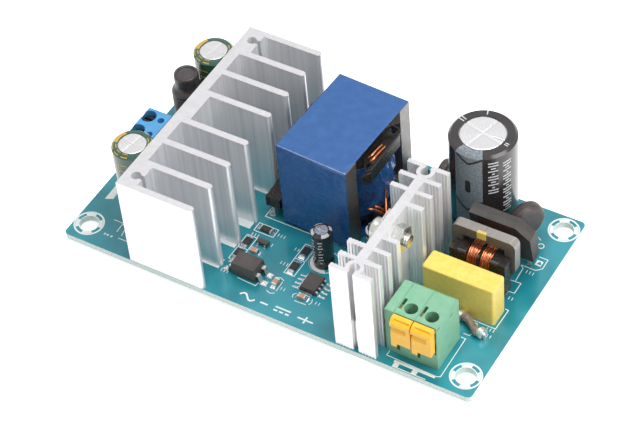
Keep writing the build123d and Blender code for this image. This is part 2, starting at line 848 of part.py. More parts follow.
# Ends of the windings, from the coil over the rails to the tops of the pins
with BuildPart() as transformer_wires:
    for side in (-1, 1):
        for reach in (-1, 1):
            start_x = transformer_x + side * (winding_tape_radius + 2 * magnet_wire_radius)
            start_y = transformer_y + reach * magnet_wire_radius * 4
            end_x = transformer_x + side * transformer_pin_x
            end_y = transformer_y + reach * 1.5 * transformer_pin_pitch
            rest_z = rail_top + magnet_wire_radius
            with BuildLine() as wire_path:
                Polyline(
                    (start_x, start_y, rest_z + winding_height / 4),
                    (start_x + side * magnet_wire_radius, start_y + reach, rest_z + winding_height / 8),
                    (end_x, end_y, rest_z),
                )
            with BuildSketch(Plane(origin=wire_path.line @ 0, z_dir=wire_path.line % 0)):
                Circle(magnet_wire_radius)
            sweep(transition=Transition.RIGHT)

transformer_wires.part.label = "transformer_wires"
export_step(transformer_wires.part, "parts/transformer_wires.step")

# Choke core: a closed frame on edge, made of two halves that meet in the middle
choke_middle_z = board_top + choke_lift + choke_height / 2
choke_back = (choke_x, choke_y + choke_thickness / 2, choke_middle_z)
choke_plane = Plane(choke_back, x_dir=(1, 0, 0), z_dir=(0, -1, 0))
with BuildPart() as choke_core:
    with BuildSketch(choke_plane):
        RectangleRounded(choke_length, choke_height, choke_corner_radius)
        Rectangle(choke_length - 2 * choke_bar, choke_height - 2 * choke_bar, mode=Mode.SUBTRACT)
        Rectangle(core_joint, choke_height, mode=Mode.SUBTRACT)
    extrude(amount=choke_thickness)

choke_core.part.label = "choke_core"
export_step(choke_core.part, "parts/choke_core.step")

# Choke bobbin round the lower bar: two thick cheeks, a thin divider, and shoulders at the front
choke_bar_z = board_top + choke_lift + choke_bar / 2
choke_start_x = choke_x - choke_inner_length / 2
choke_tube_width = choke_thickness + 2 * (choke_play + choke_tube_wall)
choke_tube_height = choke_bar + 2 * (choke_play + choke_tube_wall)
choke_flange_height = choke_flange_below + choke_flange_above
choke_flange_z = choke_bar_z + (choke_flange_above - choke_flange_below) / 2
choke_winding_span = (choke_inner_length - 2 * choke_cheek - choke_divider) / 2
choke_first_coil_x = choke_start_x + choke_cheek
choke_second_coil_x = choke_first_coil_x + choke_winding_span + choke_divider
choke_flanges = (
    (choke_start_x, choke_cheek),
    (choke_first_coil_x + choke_winding_span, choke_divider),
    (choke_second_coil_x + choke_winding_span, choke_cheek),
)
choke_shoulder_depth = (choke_flange_width - choke_thickness) / 2 - 2 * choke_play
with BuildPart() as choke_bobbin:
    with BuildSketch(Plane((choke_start_x, choke_y, choke_bar_z), x_dir=(0, 1, 0), z_dir=(1, 0, 0))):
        Rectangle(choke_tube_width, choke_tube_height)
    extrude(amount=choke_inner_length)
    for flange_x, flange_thickness in choke_flanges:
        with BuildSketch(Plane((flange_x, choke_y, choke_flange_z), x_dir=(0, 1, 0), z_dir=(1, 0, 0))):
            RectangleRounded(choke_flange_width, choke_flange_height, choke_flange_round)
        extrude(amount=flange_thickness)
    for side in (-1, 1):
        shoulder_x = choke_x + side * (choke_inner_length + choke_shoulder) / 2
        shoulder_y = choke_y - (choke_flange_width - choke_shoulder_depth) / 2
        with Locations((shoulder_x, shoulder_y, choke_flange_z)):
            Box(choke_shoulder, choke_shoulder_depth, choke_flange_height)
    with BuildSketch(Plane((choke_start_x, choke_y, choke_bar_z), x_dir=(0, 1, 0), z_dir=(1, 0, 0))):
        Rectangle(choke_thickness + 2 * choke_play, choke_bar + 2 * choke_play)
    extrude(amount=choke_inner_length, mode=Mode.SUBTRACT)

choke_bobbin.part.label = "choke_bobbin"
export_step(choke_bobbin.part, "parts/choke_bobbin.step")

with BuildPart() as choke_windings:
    for coil_x in (choke_first_coil_x, choke_second_coil_x):
        with BuildSketch(Plane((coil_x, choke_y, choke_bar_z), x_dir=(0, 1, 0), z_dir=(1, 0, 0))):
            RectangleRounded(choke_winding_width, choke_winding_height, choke_winding_round)
            Rectangle(choke_tube_width, choke_tube_height, mode=Mode.SUBTRACT)
        extrude(amount=choke_winding_span)

choke_windings.part.label = "choke_windings"
export_step(choke_windings.part, "parts/choke_windings.step")

# Small clip on the front of the upper bar, with a lip over its top edge
choke_top_z = board_top + choke_lift + choke_height
choke_front_y = choke_y - choke_thickness / 2
clip_start = choke_clip_x - choke_clip_width / 2
with BuildPart() as choke_wrap:
    with BuildSketch(Plane((clip_start, choke_front_y, choke_top_z), x_dir=(0, 1, 0), z_dir=(1, 0, 0))):
        with BuildLine():
            Polyline(
                (0, -choke_clip_height),
                (0, 0),
                (choke_clip_lip, 0),
                (choke_clip_lip, choke_clip_thickness),
                (-choke_clip_thickness, choke_clip_thickness),
                (-choke_clip_thickness, -choke_clip_height),
                close=True,
            )
        make_face()
    extrude(amount=choke_clip_width)

choke_wrap.part.label = "choke_wrap"
export_step(choke_wrap.part, "parts/choke_wrap.step")

# Square pins of the transformer and choke bobbins
with BuildPart() as bobbin_pins:
    with BuildSketch(Plane.XY.offset(board_bottom)):
        with Locations(*transformer_pin_points):
            Rectangle(pin_width, pin_width)
    extrude(amount=rail_bottom + pin_socket_depth - lead_play - board_bottom)
    with BuildSketch(Plane.XY.offset(board_bottom)):
        with Locations(*choke_pin_points):
            Rectangle(pin_width, pin_width)
    extrude(amount=choke_bar_z - choke_flange_below - board_bottom)

bobbin_pins.part.label = "bobbin_pins"
export_step(bobbin_pins.part, "parts/bobbin_pins.step")

# Electrolytic capacitors: a scored can in a printed sleeve that curls over its rim
output_sizes = (output_cap_radius, output_cap_height, output_disc_radius)
capacitors = (
    ("bulk_capacitor", [(bulk_cap_x, bulk_cap_y, bulk_cap_radius, bulk_cap_height, bulk_disc_radius)]),
    ("output_capacitors", [(x, y) + output_sizes for x, y in output_cap_centers]),
    (
        "small_capacitors",
        [
            (small_cap_x, small_cap_y, small_cap_radius, small_cap_height, small_disc_radius),
            (supply_cap_x, supply_cap_y, supply_cap_radius, supply_cap_height, supply_disc_radius),
        ],
    ),
)


def can_side(radius, height):
    # Side of a can from its foot over the rolled groove to the rim, as radius and height pairs
    return [
        (radius, 0),
        (radius, can_groove_up - can_groove_reach),
        (radius - can_groove_depth, can_groove_up),
        (radius, can_groove_up + can_groove_reach),
        (radius, height - can_rim),
        (radius - can_rim, height),
    ]


for name, members in capacitors:
    with BuildPart() as cans:
        for x, y, radius, height, disc_radius in members:
            with BuildSketch(Plane((x, y, board_top), x_dir=(1, 0, 0), z_dir=(0, -1, 0))):
                with BuildLine():
                    can_height = height - sleeve_wall
                    side_points = can_side(radius - sleeve_wall - can_play, can_height)
                    Polyline((0, 0), *side_points, (0, can_height), close=True)
                make_face()
            revolve(axis=Axis((x, y, board_top), (0, 0, 1)))
            with BuildSketch(Plane((x, y, board_top + can_height))):
                Rectangle(2 * disc_radius, vent_width)
                Rectangle(vent_width, 2 * disc_radius)
            extrude(amount=-vent_depth, mode=Mode.SUBTRACT)
    cans.part.label = name + "_can"
    export_step(cans.part, "parts/" + cans.part.label + ".step")

    with BuildPart() as sleeves:
        for x, y, radius, height, disc_radius in members:
            with BuildSketch(Plane((x, y, board_top), x_dir=(1, 0, 0), z_dir=(0, -1, 0))):
                with BuildLine():
                    can_height = height - sleeve_wall
                    outer_points = can_side(radius, height)
                    inner_points = can_side(radius - sleeve_wall, can_height)
                    curl_points = [(disc_radius, height), (disc_radius, can_height)]
                    Polyline(*outer_points, *curl_points, *reversed(inner_points), close=True)
                make_face()
            revolve(axis=Axis((x, y, board_top), (0, 0, 1)))
    sleeves.part.label = name + "_sleeve"
    export_step(sleeves.part, "parts/" + sleeves.part.label + ".step")

# Rod inductor: ferrite rod, winding and a shrunk sleeve that necks in above the winding
rod_plane = Plane((rod_x, rod_y, board_top), x_dir=(1, 0, 0), z_dir=(0, -1, 0))
rod_axis = Axis((rod_x, rod_y, board_top), (0, 0, 1))
rod_top = rod_height - rod_lift
winding_foot = rod_lift + rod_lift / 2
winding_head = winding_foot + rod_winding_height
with BuildPart() as rod_inductor_core:
    with Locations((rod_x, rod_y, board_top + rod_lift)):
        Cylinder(rod_radius, rod_top, align=cone_align)

rod_inductor_core.part.label = "rod_inductor_core"
export_step(rod_inductor_core.part, "parts/rod_inductor_core.step")

with BuildPart() as rod_inductor_winding:
    with BuildSketch(Plane((rod_x, rod_y, board_top + winding_foot))):
        Circle(rod_winding_radius)
        Circle(rod_radius + rod_play, mode=Mode.SUBTRACT)
    extrude(amount=rod_winding_height)

rod_inductor_winding.part.label = "rod_inductor_winding"
export_step(rod_inductor_winding.part, "parts/rod_inductor_winding.step")

neck_radius = rod_radius + 2 * rod_play
belly_radius = rod_winding_radius + rod_play
with BuildPart() as rod_inductor_sleeve:
    with BuildSketch(rod_plane):
        with BuildLine():
            Polyline(
                (belly_radius, rod_lift),
                (belly_radius + rod_sleeve_wall, rod_lift),
                (belly_radius + rod_sleeve_wall, winding_head),
                (neck_radius + rod_sleeve_wall, winding_head + rod_sleeve_wall * 4),
                (neck_radius + rod_sleeve_wall, rod_height - rod_play),
                (neck_radius, rod_height - rod_play),
                (neck_radius, winding_head + rod_sleeve_wall * 4),
                (belly_radius, winding_head + rod_play),
                close=True,
            )
        make_face()
    revolve(axis=rod_axis)

rod_inductor_sleeve.part.label = "rod_inductor_sleeve"
export_step(rod_inductor_sleeve.part, "parts/rod_inductor_sleeve.step")

# Film capacitor, a moulded box with soft edges
with BuildPart() as film_capacitor:
    with BuildSketch(Plane((film_cap_x, film_cap_y, board_top))):
        Rectangle(film_cap_length, film_cap_depth)
    extrude(amount=film_cap_height)
    fillet(film_capacitor.edges().filter_by(Axis.Z), film_cap_round)
    fillet(film_capacitor.faces().sort_by(Axis.Z)[-1].edges(), film_cap_round / 2)

film_capacitor.part.label = "film_capacitor"
export_step(film_capacitor.part, "parts/film_capacitor.step")

# Bridge rectifier: drafted slab with one cut corner, on four legs
lean = math.radians(bridge_lean)
bridge_foot_z = board_top + bridge_lift
bridge_foot = (bridge_x, bridge_foot_y, bridge_foot_z)
bridge_front = (0, -math.cos(lean), -math.sin(lean))
bridge_plane = Plane(bridge_foot, x_dir=(1, 0, 0), z_dir=bridge_front)
with BuildPart() as bridge_rectifier:
    with BuildSketch(bridge_plane):
        with BuildLine():
            Polyline(
                (-bridge_width / 2, 0),
                (bridge_width / 2, 0),
                (bridge_width / 2, bridge_height - bridge_cut),
                (bridge_width / 2 - bridge_cut, bridge_height),
                (-bridge_width / 2, bridge_height),
                close=True,
            )
        make_face()
    extrude(amount=bridge_depth / 2, both=True, taper=bridge_draft)

bridge_rectifier.part.label = "bridge_rectifier"
export_step(bridge_rectifier.part, "parts/bridge_rectifier.step")

with BuildPart() as bridge_legs:
    for leg_x, leg_y in bridge_leg_points:
        leg_plane = Plane((leg_x, bridge_foot_y, bridge_foot_z), x_dir=(0, 1, 0), z_dir=(1, 0, 0))
        rise = leg_thickness / 2 * math.tan(lean)
        with BuildSketch(leg_plane):
            with BuildLine():
                Polyline(
                    (-leg_thickness / 2, board_bottom - bridge_foot_z),
                    (leg_thickness / 2, board_bottom - bridge_foot_z),
                    (leg_thickness / 2, rise),
                    (-leg_thickness / 2, -rise),
                    close=True,
                )
            make_face()
        extrude(amount=leg_width / 2, both=True)

bridge_legs.part.label = "bridge_legs"
export_step(bridge_legs.part, "parts/bridge_legs.step")

# Coated discs on edge: the thermistor and the safety capacitor
with BuildPart() as thermistor:
    turn = math.radians(thermistor_turn)
    disc_center = (thermistor_x, thermistor_y, board_top + thermistor_z)
    disc_plane = Plane(disc_center, z_dir=(math.cos(turn), math.sin(turn), 0))
    with BuildSketch(disc_plane):
        Circle(thermistor_radius)
    extrude(amount=thermistor_thickness / 2, both=True)
    fillet(thermistor.edges(), thermistor_round)

thermistor.part.label = "thermistor"
export_step(thermistor.part, "parts/thermistor.step")

with BuildPart() as safety_capacitor:
    with BuildSketch(Plane((disc_cap_x, disc_cap_y, board_top + disc_cap_z), z_dir=(1, 0, 0))):
        Circle(disc_cap_radius)
    extrude(amount=disc_cap_thickness / 2, both=True)
    fillet(safety_capacitor.edges(), disc_cap_round)

safety_capacitor.part.label = "safety_capacitor"
export_step(safety_capacitor.part, "parts/safety_capacitor.step")

# Fusible resistor lying above the board, with a metal cap on each end
fuse_angle = math.degrees(math.atan2(fuse_end[1] - fuse_start[1], fuse_end[0] - fuse_start[0]))
fuse_axis_dir = (math.cos(math.radians(fuse_angle)), math.sin(math.radians(fuse_angle)), 0)
fuse_span = math.dist(fuse_start, fuse_end)
fuse_middle = ((fuse_start[0] + fuse_end[0]) / 2, (fuse_start[1] + fuse_end[1]) / 2)
fuse_z = board_top + fuse_lift
fuse_plane = Plane((fuse_middle[0], fuse_middle[1], fuse_z), z_dir=fuse_axis_dir)
with BuildPart() as fusible_resistor:
    with BuildSketch(fuse_plane):
        Circle(fuse_radius)
    extrude(amount=fuse_length / 2, both=True)

fusible_resistor.part.label = "fusible_resistor"
export_step(fusible_resistor.part, "parts/fusible_resistor.step")

# Tinned end caps and bent leads of the fusible resistor
with BuildPart() as fusible_resistor_ends:
    for side, hole in ((-1, fuse_start), (1, fuse_end)):
        cap_plane = fuse_plane.offset(side * fuse_length / 2)
        with BuildSketch(cap_plane):
            Circle(fuse_cap_radius)
        extrude(amount=side * fuse_cap_length)
        cap_face = cap_plane.offset(side * fuse_cap_length / 2).origin
        with BuildLine() as bent_lead:
            Polyline(
                (hole[0], hole[1], board_bottom),
                (hole[0], hole[1], fuse_z),
                (cap_face.X, cap_face.Y, fuse_z),
            )
        with BuildSketch(Plane(origin=bent_lead.line @ 0, z_dir=bent_lead.line % 0)):
            Circle(wire_radius)
        sweep(transition=Transition.RIGHT)

fusible_resistor_ends.part.label = "fusible_resistor_ends"
export_step(fusible_resistor_ends.part, "parts/fusible_resistor_ends.step")

# Straight wire leads of the capacitors, the rod inductor and the thermistor
disc_lead_reach = thermistor_lead_pitch / 2 - wire_radius
disc_drop = math.sqrt(thermistor_radius**2 - disc_lead_reach**2)
safety_reach = disc_cap_lead_pitch / 2 - wire_radius
safety_drop = math.sqrt(disc_cap_radius**2 - safety_reach**2)
leads = (
    (bulk_lead_points + output_lead_points + small_lead_points + supply_lead_points, 0),
    (film_lead_points, 0),
    (rod_lead_points, rod_lift),
    (thermistor_lead_points, thermistor_z - disc_drop - lead_play),
    (disc_cap_lead_points, disc_cap_z - safety_drop - lead_play),
)
with BuildPart() as wire_leads:
    for points, rise in leads:
        with Locations(*[(x, y, board_bottom) for x, y in points]):
            Cylinder(wire_radius, board_thickness + rise, align=cone_align)

wire_leads.part.label = "wire_leads"
export_step(wire_leads.part, "parts/wire_leads.step")


# Flat packages on the board: optocoupler, control chip and small transistor
chip_rows = ((0, chip_leads_per_side), (180, chip_leads_per_side))
packages = (
    ("optocoupler", opto_x, opto_y, opto_size_x, opto_size_y, opto_height, opto_lift),
    ("control_chip", chip_x, chip_y, chip_size_x, chip_size_y, chip_height, chip_lift),
    ("small_transistor", sot_x, sot_y, sot_size_x, sot_size_y, sot_height, sot_lift),
)
for name, x, y, size_x, size_y, height, lift in packages:
    with BuildPart() as package:
        with BuildSketch(Plane((x, y, board_top + lift + height / 2))):
            Rectangle(size_x, size_y)
        extrude(amount=height / 2, both=True, taper=package_draft)
    package.part.label = name
    export_step(package.part, "parts/" + name + ".step")

# Their leads leave two sides, bend down and stand on the board
opto_form = (opto_size_x / 2, opto_lift + opto_height / 2, opto_lead_reach, opto_lead_width)
chip_form = (chip_size_x / 2, chip_lift + chip_height / 2, chip_lead_reach, chip_lead_width)
sot_form = (sot_size_y / 2, sot_lift + sot_height / 2, sot_lead_reach, sot_lead_width)
lead_sets = (
    ((opto_x, opto_y), 0, ((0, 2), (180, 2)), opto_lead_pitch, opto_form),
    ((chip_x, chip_y), 0, chip_rows, chip_lead_pitch, chip_form),
    ((sot_x, sot_y), 90, ((0, 1), (180, 2)), sot_pitch, sot_form),
)
with BuildPart() as package_leads:
    for center, turn, lead_rows, pitch, form in lead_sets:
        body_half, root_z, reach, width = form
        foot_z = gull_thickness / 2
        knee = reach * (1 - gull_foot_share)
        for outward, count in lead_rows:
            out = math.radians(turn + outward)
            out_dir = (math.cos(out), math.sin(out), 0)
            side_dir = (math.sin(out), -math.cos(out), 0)
            for x, y in row(center, pitch, count, turn + 90):
                with BuildSketch(Plane((x, y, board_top), x_dir=out_dir, z_dir=side_dir)):
                    with BuildLine():
                        Polyline(
                            (body_half, root_z),
                            (body_half + knee / 2, root_z),
                            (body_half + knee, foot_z),
                            (body_half + reach, foot_z),
                        )
                    trace(line_width=gull_thickness)
                extrude(amount=width / 2, both=True)

package_leads.part.label = "package_leads"
export_step(package_leads.part, "parts/package_leads.step")

# Chip resistors and capacitors between their tinned ends, each turned along x or y
resistor_size = (large_chip_length, large_chip_width, resistor_height)
chip_cap_size = (small_chip_length, small_chip_width, chip_cap_height)
left_resistors_y2 = left_resistors_y - left_resistors_pitch
middle_resistors_y2 = middle_resistors_y - middle_resistors_pitch
resistor_places = (
    Location((lone_resistor_x, lone_resistor_y, board_top)),
    Location((left_resistors_x, left_resistors_y, board_top), (0, 0, 90)),
    Location((left_resistors_x, left_resistors_y2, board_top), (0, 0, 90)),
    Location((middle_resistors_x, middle_resistors_y, board_top), (0, 0, 90)),
    Location((middle_resistors_x, middle_resistors_y2, board_top), (0, 0, 90)),
)
chip_cap_places = (
    Location((front_cap_x, front_cap_y, board_top), (0, 0, 90)),
    Location((chip_front_cap_x, chip_front_cap_y, board_top)),
    Location((side_cap_x, side_cap_y, board_top)),
)
with BuildPart() as chip_resistors:
    with Locations(*resistor_places):
        Box(large_chip_length - 2 * chip_end, large_chip_width, resistor_height, align=cone_align)

chip_resistors.part.label = "chip_resistors"
export_step(chip_resistors.part, "parts/chip_resistors.step")

with BuildPart() as chip_capacitors:
    with Locations(*chip_cap_places):
        Box(small_chip_length - 2 * chip_end, small_chip_width, chip_cap_height, align=cone_align)

chip_capacitors.part.label = "chip_capacitors"
export_step(chip_capacitors.part, "parts/chip_capacitors.step")

with BuildPart() as chip_ends:
    for places, size in ((resistor_places, resistor_size), (chip_cap_places, chip_cap_size)):
        with Locations(*places):
            end_x = size[0] / 2 - chip_end / 2
            with Locations((-end_x, 0), (end_x, 0)):
                Box(chip_end, size[1], size[2] + chip_end_step, align=cone_align)

chip_ends.part.label = "chip_ends"
export_step(chip_ends.part, "parts/chip_ends.step")

# Input terminal housing: side profile, lever pocket, spring chambers, wire holes and slots
pole_middle = input_x + pole_shift
pocket_length = 2 * input_pitch
pivot_groove_radius = pivot_radius + pivot_play
input_side = Plane((0, 0, board_top), x_dir=(0, 1, 0), z_dir=(1, 0, 0))
input_end = input_side.offset(input_x - input_length / 2)
pocket_start = input_side.offset(pole_middle - pocket_length / 2)
pocket_top = pivot_z - pivot_radius * 2 / 3
with BuildPart() as input_terminal_housing:
    with BuildSketch(input_end):
        with BuildLine():
            Polyline(
                (input_front_y, 0),
                (input_front_y, input_height),
                (input_back_y - input_bevel, input_height),
                (input_back_y, input_height - input_bevel),
                (input_back_y, 0),
                close=True,
            )
        make_face()
    extrude(amount=input_length)
    with BuildSketch(pocket_start):
        with BuildLine():
            Polyline(
                (lever_front_y, lever_pocket_bottom),
                (lever_front_y, pocket_top),
                (input_front_y + pocket_top_depth, pocket_top),
                (input_front_y + pocket_roof_depth, chamber_roof),
                (input_front_y + pocket_bottom_depth, lever_pocket_bottom),
                close=True,
            )
        make_face()
        with Locations((pivot_y, pivot_z)):
            Circle(pivot_groove_radius)
    extrude(amount=pocket_length, mode=Mode.SUBTRACT)
    chamber_depth = chamber_back_y - chamber_front_y
    for pole_x in pole_centers:
        with Locations((pole_x, chamber_front_y, board_top)):
            Box(
                chamber_width,
                chamber_depth,
                chamber_roof,
                align=(Align.CENTER, Align.MIN, Align.MIN),
                mode=Mode.SUBTRACT,
            )
        with BuildSketch(Plane.XY.offset(board_top + input_height)):
            with Locations((pole_x + wire_hole_shift, wire_hole_y)):
                Circle(wire_hole_radius)
            with Locations((pole_x + slot_shift, slot_y)):
                Rectangle(slot_width, slot_length)
        extrude(amount=chamber_roof - input_height - wire_hole_overrun, mode=Mode.SUBTRACT)
        front_wall = chamber_front_y - input_front_y
        with Locations((pole_x + slot_shift, input_front_y, board_top + front_slot_z)):
            Box(slot_width, 4 * front_wall, front_slot_height, mode=Mode.SUBTRACT)
    for seam_x in (pole_middle, pole_middle - input_pitch):
        with Locations((seam_x, (input_front_y + input_back_y) / 2, board_top + input_height)):
            Box(seam_width, input_length, 2 * seam_depth, mode=Mode.SUBTRACT)
    side_slots = (
        (back_slot_y, back_slot_z),
        (front_side_slot_y, front_side_slot_z),
        (low_slot_y, low_slot_z),
    )
    for side in (-1, 1):
        for side_slot_y, side_slot_z in side_slots:
            with Locations((input_x + side * input_length / 2, side_slot_y, board_top + side_slot_z)):
                Box(2 * side_slot_depth, side_slot_length, side_slot_height, mode=Mode.SUBTRACT)

input_terminal_housing.part.label = "input_terminal_housing"
export_step(input_terminal_housing.part, "parts/input_terminal_housing.step")

# Press levers: ridged front plate, hinge bead in the housing groove, nose towards the spring
lever_width = input_pitch - lever_gap
lever_step_y = lever_back_y - lever_top_depth
ridge_bottom = lever_top - lever_slope - ridge_height
plate_y = lever_front_y + ridge_step
for number, pole_x in enumerate(pole_centers, start=1):
    lever_left = pole_x - lever_width / 2
    with BuildPart() as lever:
        with BuildSketch(input_side.offset(lever_left)):
            with BuildLine():
                Polyline(
                    (lever_back_y, lever_bottom),
                    (lever_back_y, pivot_z - pivot_radius / 2),
                    (pivot_y, pivot_z - pivot_radius / 2),
                    (pivot_y, pivot_z + pivot_radius / 2),
                    (lever_back_y, pivot_z + pivot_radius / 2),
                    (lever_back_y, lever_top),
                    (lever_step_y, lever_top),
                    (lever_front_y + ridge_round, lever_top - lever_slope),
                    (lever_front_y, lever_top - lever_slope - ridge_round),
                    (lever_front_y, ridge_bottom + ridge_step),
                    (plate_y, ridge_bottom),
                    (plate_y, lever_bottom),
                    close=True,
                )
            make_face()
            with Locations((pivot_y, pivot_z)):
                Circle(pivot_radius)
        extrude(amount=lever_width)
        with BuildSketch(input_side.offset(lever_left)):
            with BuildLine():
                Polyline(
                    (plate_y, lever_bottom),
                    (lever_back_y, lever_bottom),
                    (lever_back_y, lever_bottom - lever_tab_drop / 2),
                    (plate_y + ridge_step, lever_bottom - lever_tab_drop),
                    (plate_y, lever_bottom - lever_tab_drop),
                    close=True,
                )
            make_face()
        extrude(amount=lever_tab_width)
        with BuildSketch(input_side.offset(pole_x - contact_width / 2)):
            with BuildLine():
                Polyline(
                    (lever_back_y, lever_nose_z - lever_nose),
                    (lever_back_y + lever_nose, lever_nose_z),
                    (lever_back_y + lever_nose, lever_nose_z + lever_nose),
                    (lever_back_y, lever_nose_z + 2 * lever_nose),
                    close=True,
                )
            make_face()
        extrude(amount=contact_width)
        with BuildSketch(input_side.offset(lever_left + lever_width - finger_border - finger_length)):
            with BuildLine():
                Polyline(
                    (lever_step_y, lever_top),
                    (lever_step_y, lever_top - finger_depth),
                    (lever_front_y + ridge_round, lever_top - finger_depth),
                    (lever_front_y, lever_top - finger_depth - lever_slope),
                    (lever_front_y, lever_top),
                    close=True,
                )
            make_face()
        extrude(amount=finger_length, mode=Mode.SUBTRACT)
        with BuildSketch(input_side.offset(lever_left)):
            with BuildLine():
                Polyline(
                    (plate_y, ridge_bottom),
                    (plate_y + dimple_depth, ridge_bottom - ridge_step),
                    (plate_y, ridge_bottom - dimple_height),
                    close=True,
                )
            make_face()
        extrude(amount=dimple_length, mode=Mode.SUBTRACT)
    lever.part.label = f"input_lever_{number}"
    export_step(lever.part, f"parts/input_lever_{number}.step")

# Spring contacts: a bent strip in each chamber, with its pin through the board
with BuildPart() as input_contacts:
    for pole_x in pole_centers:
        with BuildSketch(input_side.offset(pole_x - contact_width / 2)):
            with BuildLine():
                Polyline(
                    (contact_pin_y, contact_foot),
                    (contact_pin_y, contact_top),
                    (contact_bend_y, contact_top),
                    (contact_bend_y - contact_bend, contact_top - contact_bend),
                    (contact_tip_y, contact_tip_z),
                )
            trace(line_width=contact_thickness)
        extrude(amount=contact_width)
        with BuildSketch(Plane((pole_x, contact_pin_y, board_bottom))):
            Rectangle(terminal_pin_width, contact_thickness)
        extrude(amount=board_thickness + contact_foot)

input_contacts.part.label = "input_contacts"
export_step(input_contacts.part, "parts/input_contacts.step")

# Output terminal housing: bevelled block with screw wells, wire entries, cage cavities and test holes
output_end = (output_term_x, output_term_y + output_term_length / 2, board_top)
output_side = Plane(output_end, x_dir=(1, 0, 0), z_dir=(0, -1, 0))
entry_z = cage_lift + cage_floor + cage_wire_space / 2
cavity_top = screw_head_seat - shelf_thickness
cavity_depth = cage_depth + 2 * cage_play
cavity_width = cage_width + 2 * cage_play
term_front_x = output_term_x - output_term_depth / 2
probe_x = output_term_x + probe_offset_x
busbar_bottom_z = cage_lift + cage_floor + cage_wire_space
busbar_top_z = busbar_bottom_z + busbar_thickness
cage_roof_z = busbar_top_z + busbar_gap
with BuildPart() as output_terminal_housing:
    with BuildSketch(output_side):
        with BuildLine():
            Polyline(
                (-output_term_depth / 2, 0),
                (output_term_depth / 2, 0),
                (output_term_depth / 2, output_term_height),
                (-output_term_depth / 2 + output_term_bevel, output_term_height),
                (-output_term_depth / 2, output_term_height - 2 * output_term_bevel),
                close=True,
            )
        make_face()
    extrude(amount=output_term_length)
    for screw_y in screw_ys:
        with BuildSketch(Plane((screw_x, screw_y, board_top + output_term_height))):
            Circle(screw_hole_radius)
        extrude(amount=screw_head_seat - output_term_height, mode=Mode.SUBTRACT)
        with BuildSketch(Plane((screw_x, screw_y, board_top))):
            Circle(screw_shank_radius + screw_shank_play)
        extrude(amount=screw_head_seat, mode=Mode.SUBTRACT)
        with BuildSketch(Plane((screw_x, screw_y, board_top))):
            Rectangle(cavity_depth, cavity_width)
        extrude(amount=cavity_top, mode=Mode.SUBTRACT)
        with BuildSketch(Plane((busbar_pin_x, screw_y, board_top))):
            Rectangle(2 * busbar_thickness, busbar_width + cage_play)
        extrude(amount=busbar_top_z + cage_play, mode=Mode.SUBTRACT)
        with BuildSketch(Plane((term_front_x, screw_y, board_top + entry_z), z_dir=(1, 0, 0))):
            Circle(entry_radius)
        extrude(amount=screw_x - term_front_x, mode=Mode.SUBTRACT)
        with BuildSketch(Plane((probe_x, screw_y, board_top + output_term_height))):
            Circle(probe_hole_radius)
        extrude(amount=-probe_depth, mode=Mode.SUBTRACT)

output_terminal_housing.part.label = "output_terminal_housing"
export_step(output_terminal_housing.part, "parts/output_terminal_housing.step")

# Terminal screws: slotted head on the shelf, shank down into the cage
for number, screw_y in enumerate(screw_ys, start=1):
    head_z = board_top + screw_head_seat + thread_play
    with BuildPart() as terminal_screw:
        with BuildSketch(Plane((screw_x, screw_y, head_z))):
            Circle(screw_head_radius)
        extrude(amount=screw_head_height)
        chamfer(terminal_screw.faces().sort_by(Axis.Z)[-1].edges(), screw_head_height / 5)
        with BuildSketch(Plane((screw_x, screw_y, head_z))):
            Circle(screw_shank_radius)
        extrude(amount=board_top + cage_roof_z - head_z)
        with Locations((screw_x, screw_y, head_z + screw_head_height)):
            Box(2 * screw_head_radius, screw_slot_width, 2 * screw_slot_depth, mode=Mode.SUBTRACT)
    terminal_screw.part.label = f"output_screw_{number}"
    export_step(terminal_screw.part, f"parts/output_screw_{number}.step")

# Wire cages: square tubes that climb the screws and press the wire up against the busbar
cage_height = cage_roof_z + cage_roof - cage_lift
cage_window = cage_roof_z - cage_lift - cage_floor
for number, screw_y in enumerate(screw_ys, start=1):
    cage_foot = (screw_x - cage_depth / 2, screw_y, board_top + cage_lift)
    cage_plane = Plane(cage_foot, x_dir=(0, 1, 0), z_dir=(1, 0, 0))
    with BuildPart() as wire_cage:
        with BuildSketch(cage_plane):
            Rectangle(cage_width, cage_height, align=(Align.CENTER, Align.MIN))
            with Locations((0, cage_floor)):
                Rectangle(
                    cage_width - 2 * cage_wall,
                    cage_window,
                    align=(Align.CENTER, Align.MIN),
                    mode=Mode.SUBTRACT,
                )
        extrude(amount=cage_depth)
        with BuildSketch(Plane((screw_x, screw_y, board_top + cage_roof_z))):
            Circle(screw_shank_radius + thread_play)
        extrude(amount=cage_roof, mode=Mode.SUBTRACT)
    wire_cage.part.label = f"output_cage_{number}"
    export_step(wire_cage.part, f"parts/output_cage_{number}.step")

# Busbars that reach into the cages, each on its pin through the board
with BuildPart() as output_busbars:
    for screw_y in screw_ys:
        bar_start_x = screw_x - cage_depth / 2
        bar_length = busbar_pin_x + busbar_thickness / 2 - bar_start_x
        with Locations((bar_start_x, screw_y, board_top + busbar_bottom_z)):
            Box(bar_length, busbar_width, busbar_thickness, align=(Align.MIN, Align.CENTER, Align.MIN))
        with Locations((busbar_pin_x, screw_y, board_top)):
            Box(busbar_thickness, busbar_width, busbar_top_z, align=cone_align)
        with Locations((busbar_pin_x, screw_y, board_bottom)):
            Box(busbar_thickness, terminal_pin_width, board_thickness, align=cone_align)

output_busbars.part.label = "output_busbars"
export_step(output_busbars.part, "parts/output_busbars.step")
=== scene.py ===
import math

import bmesh
import bpy
from mathutils import Matrix, Vector, noise


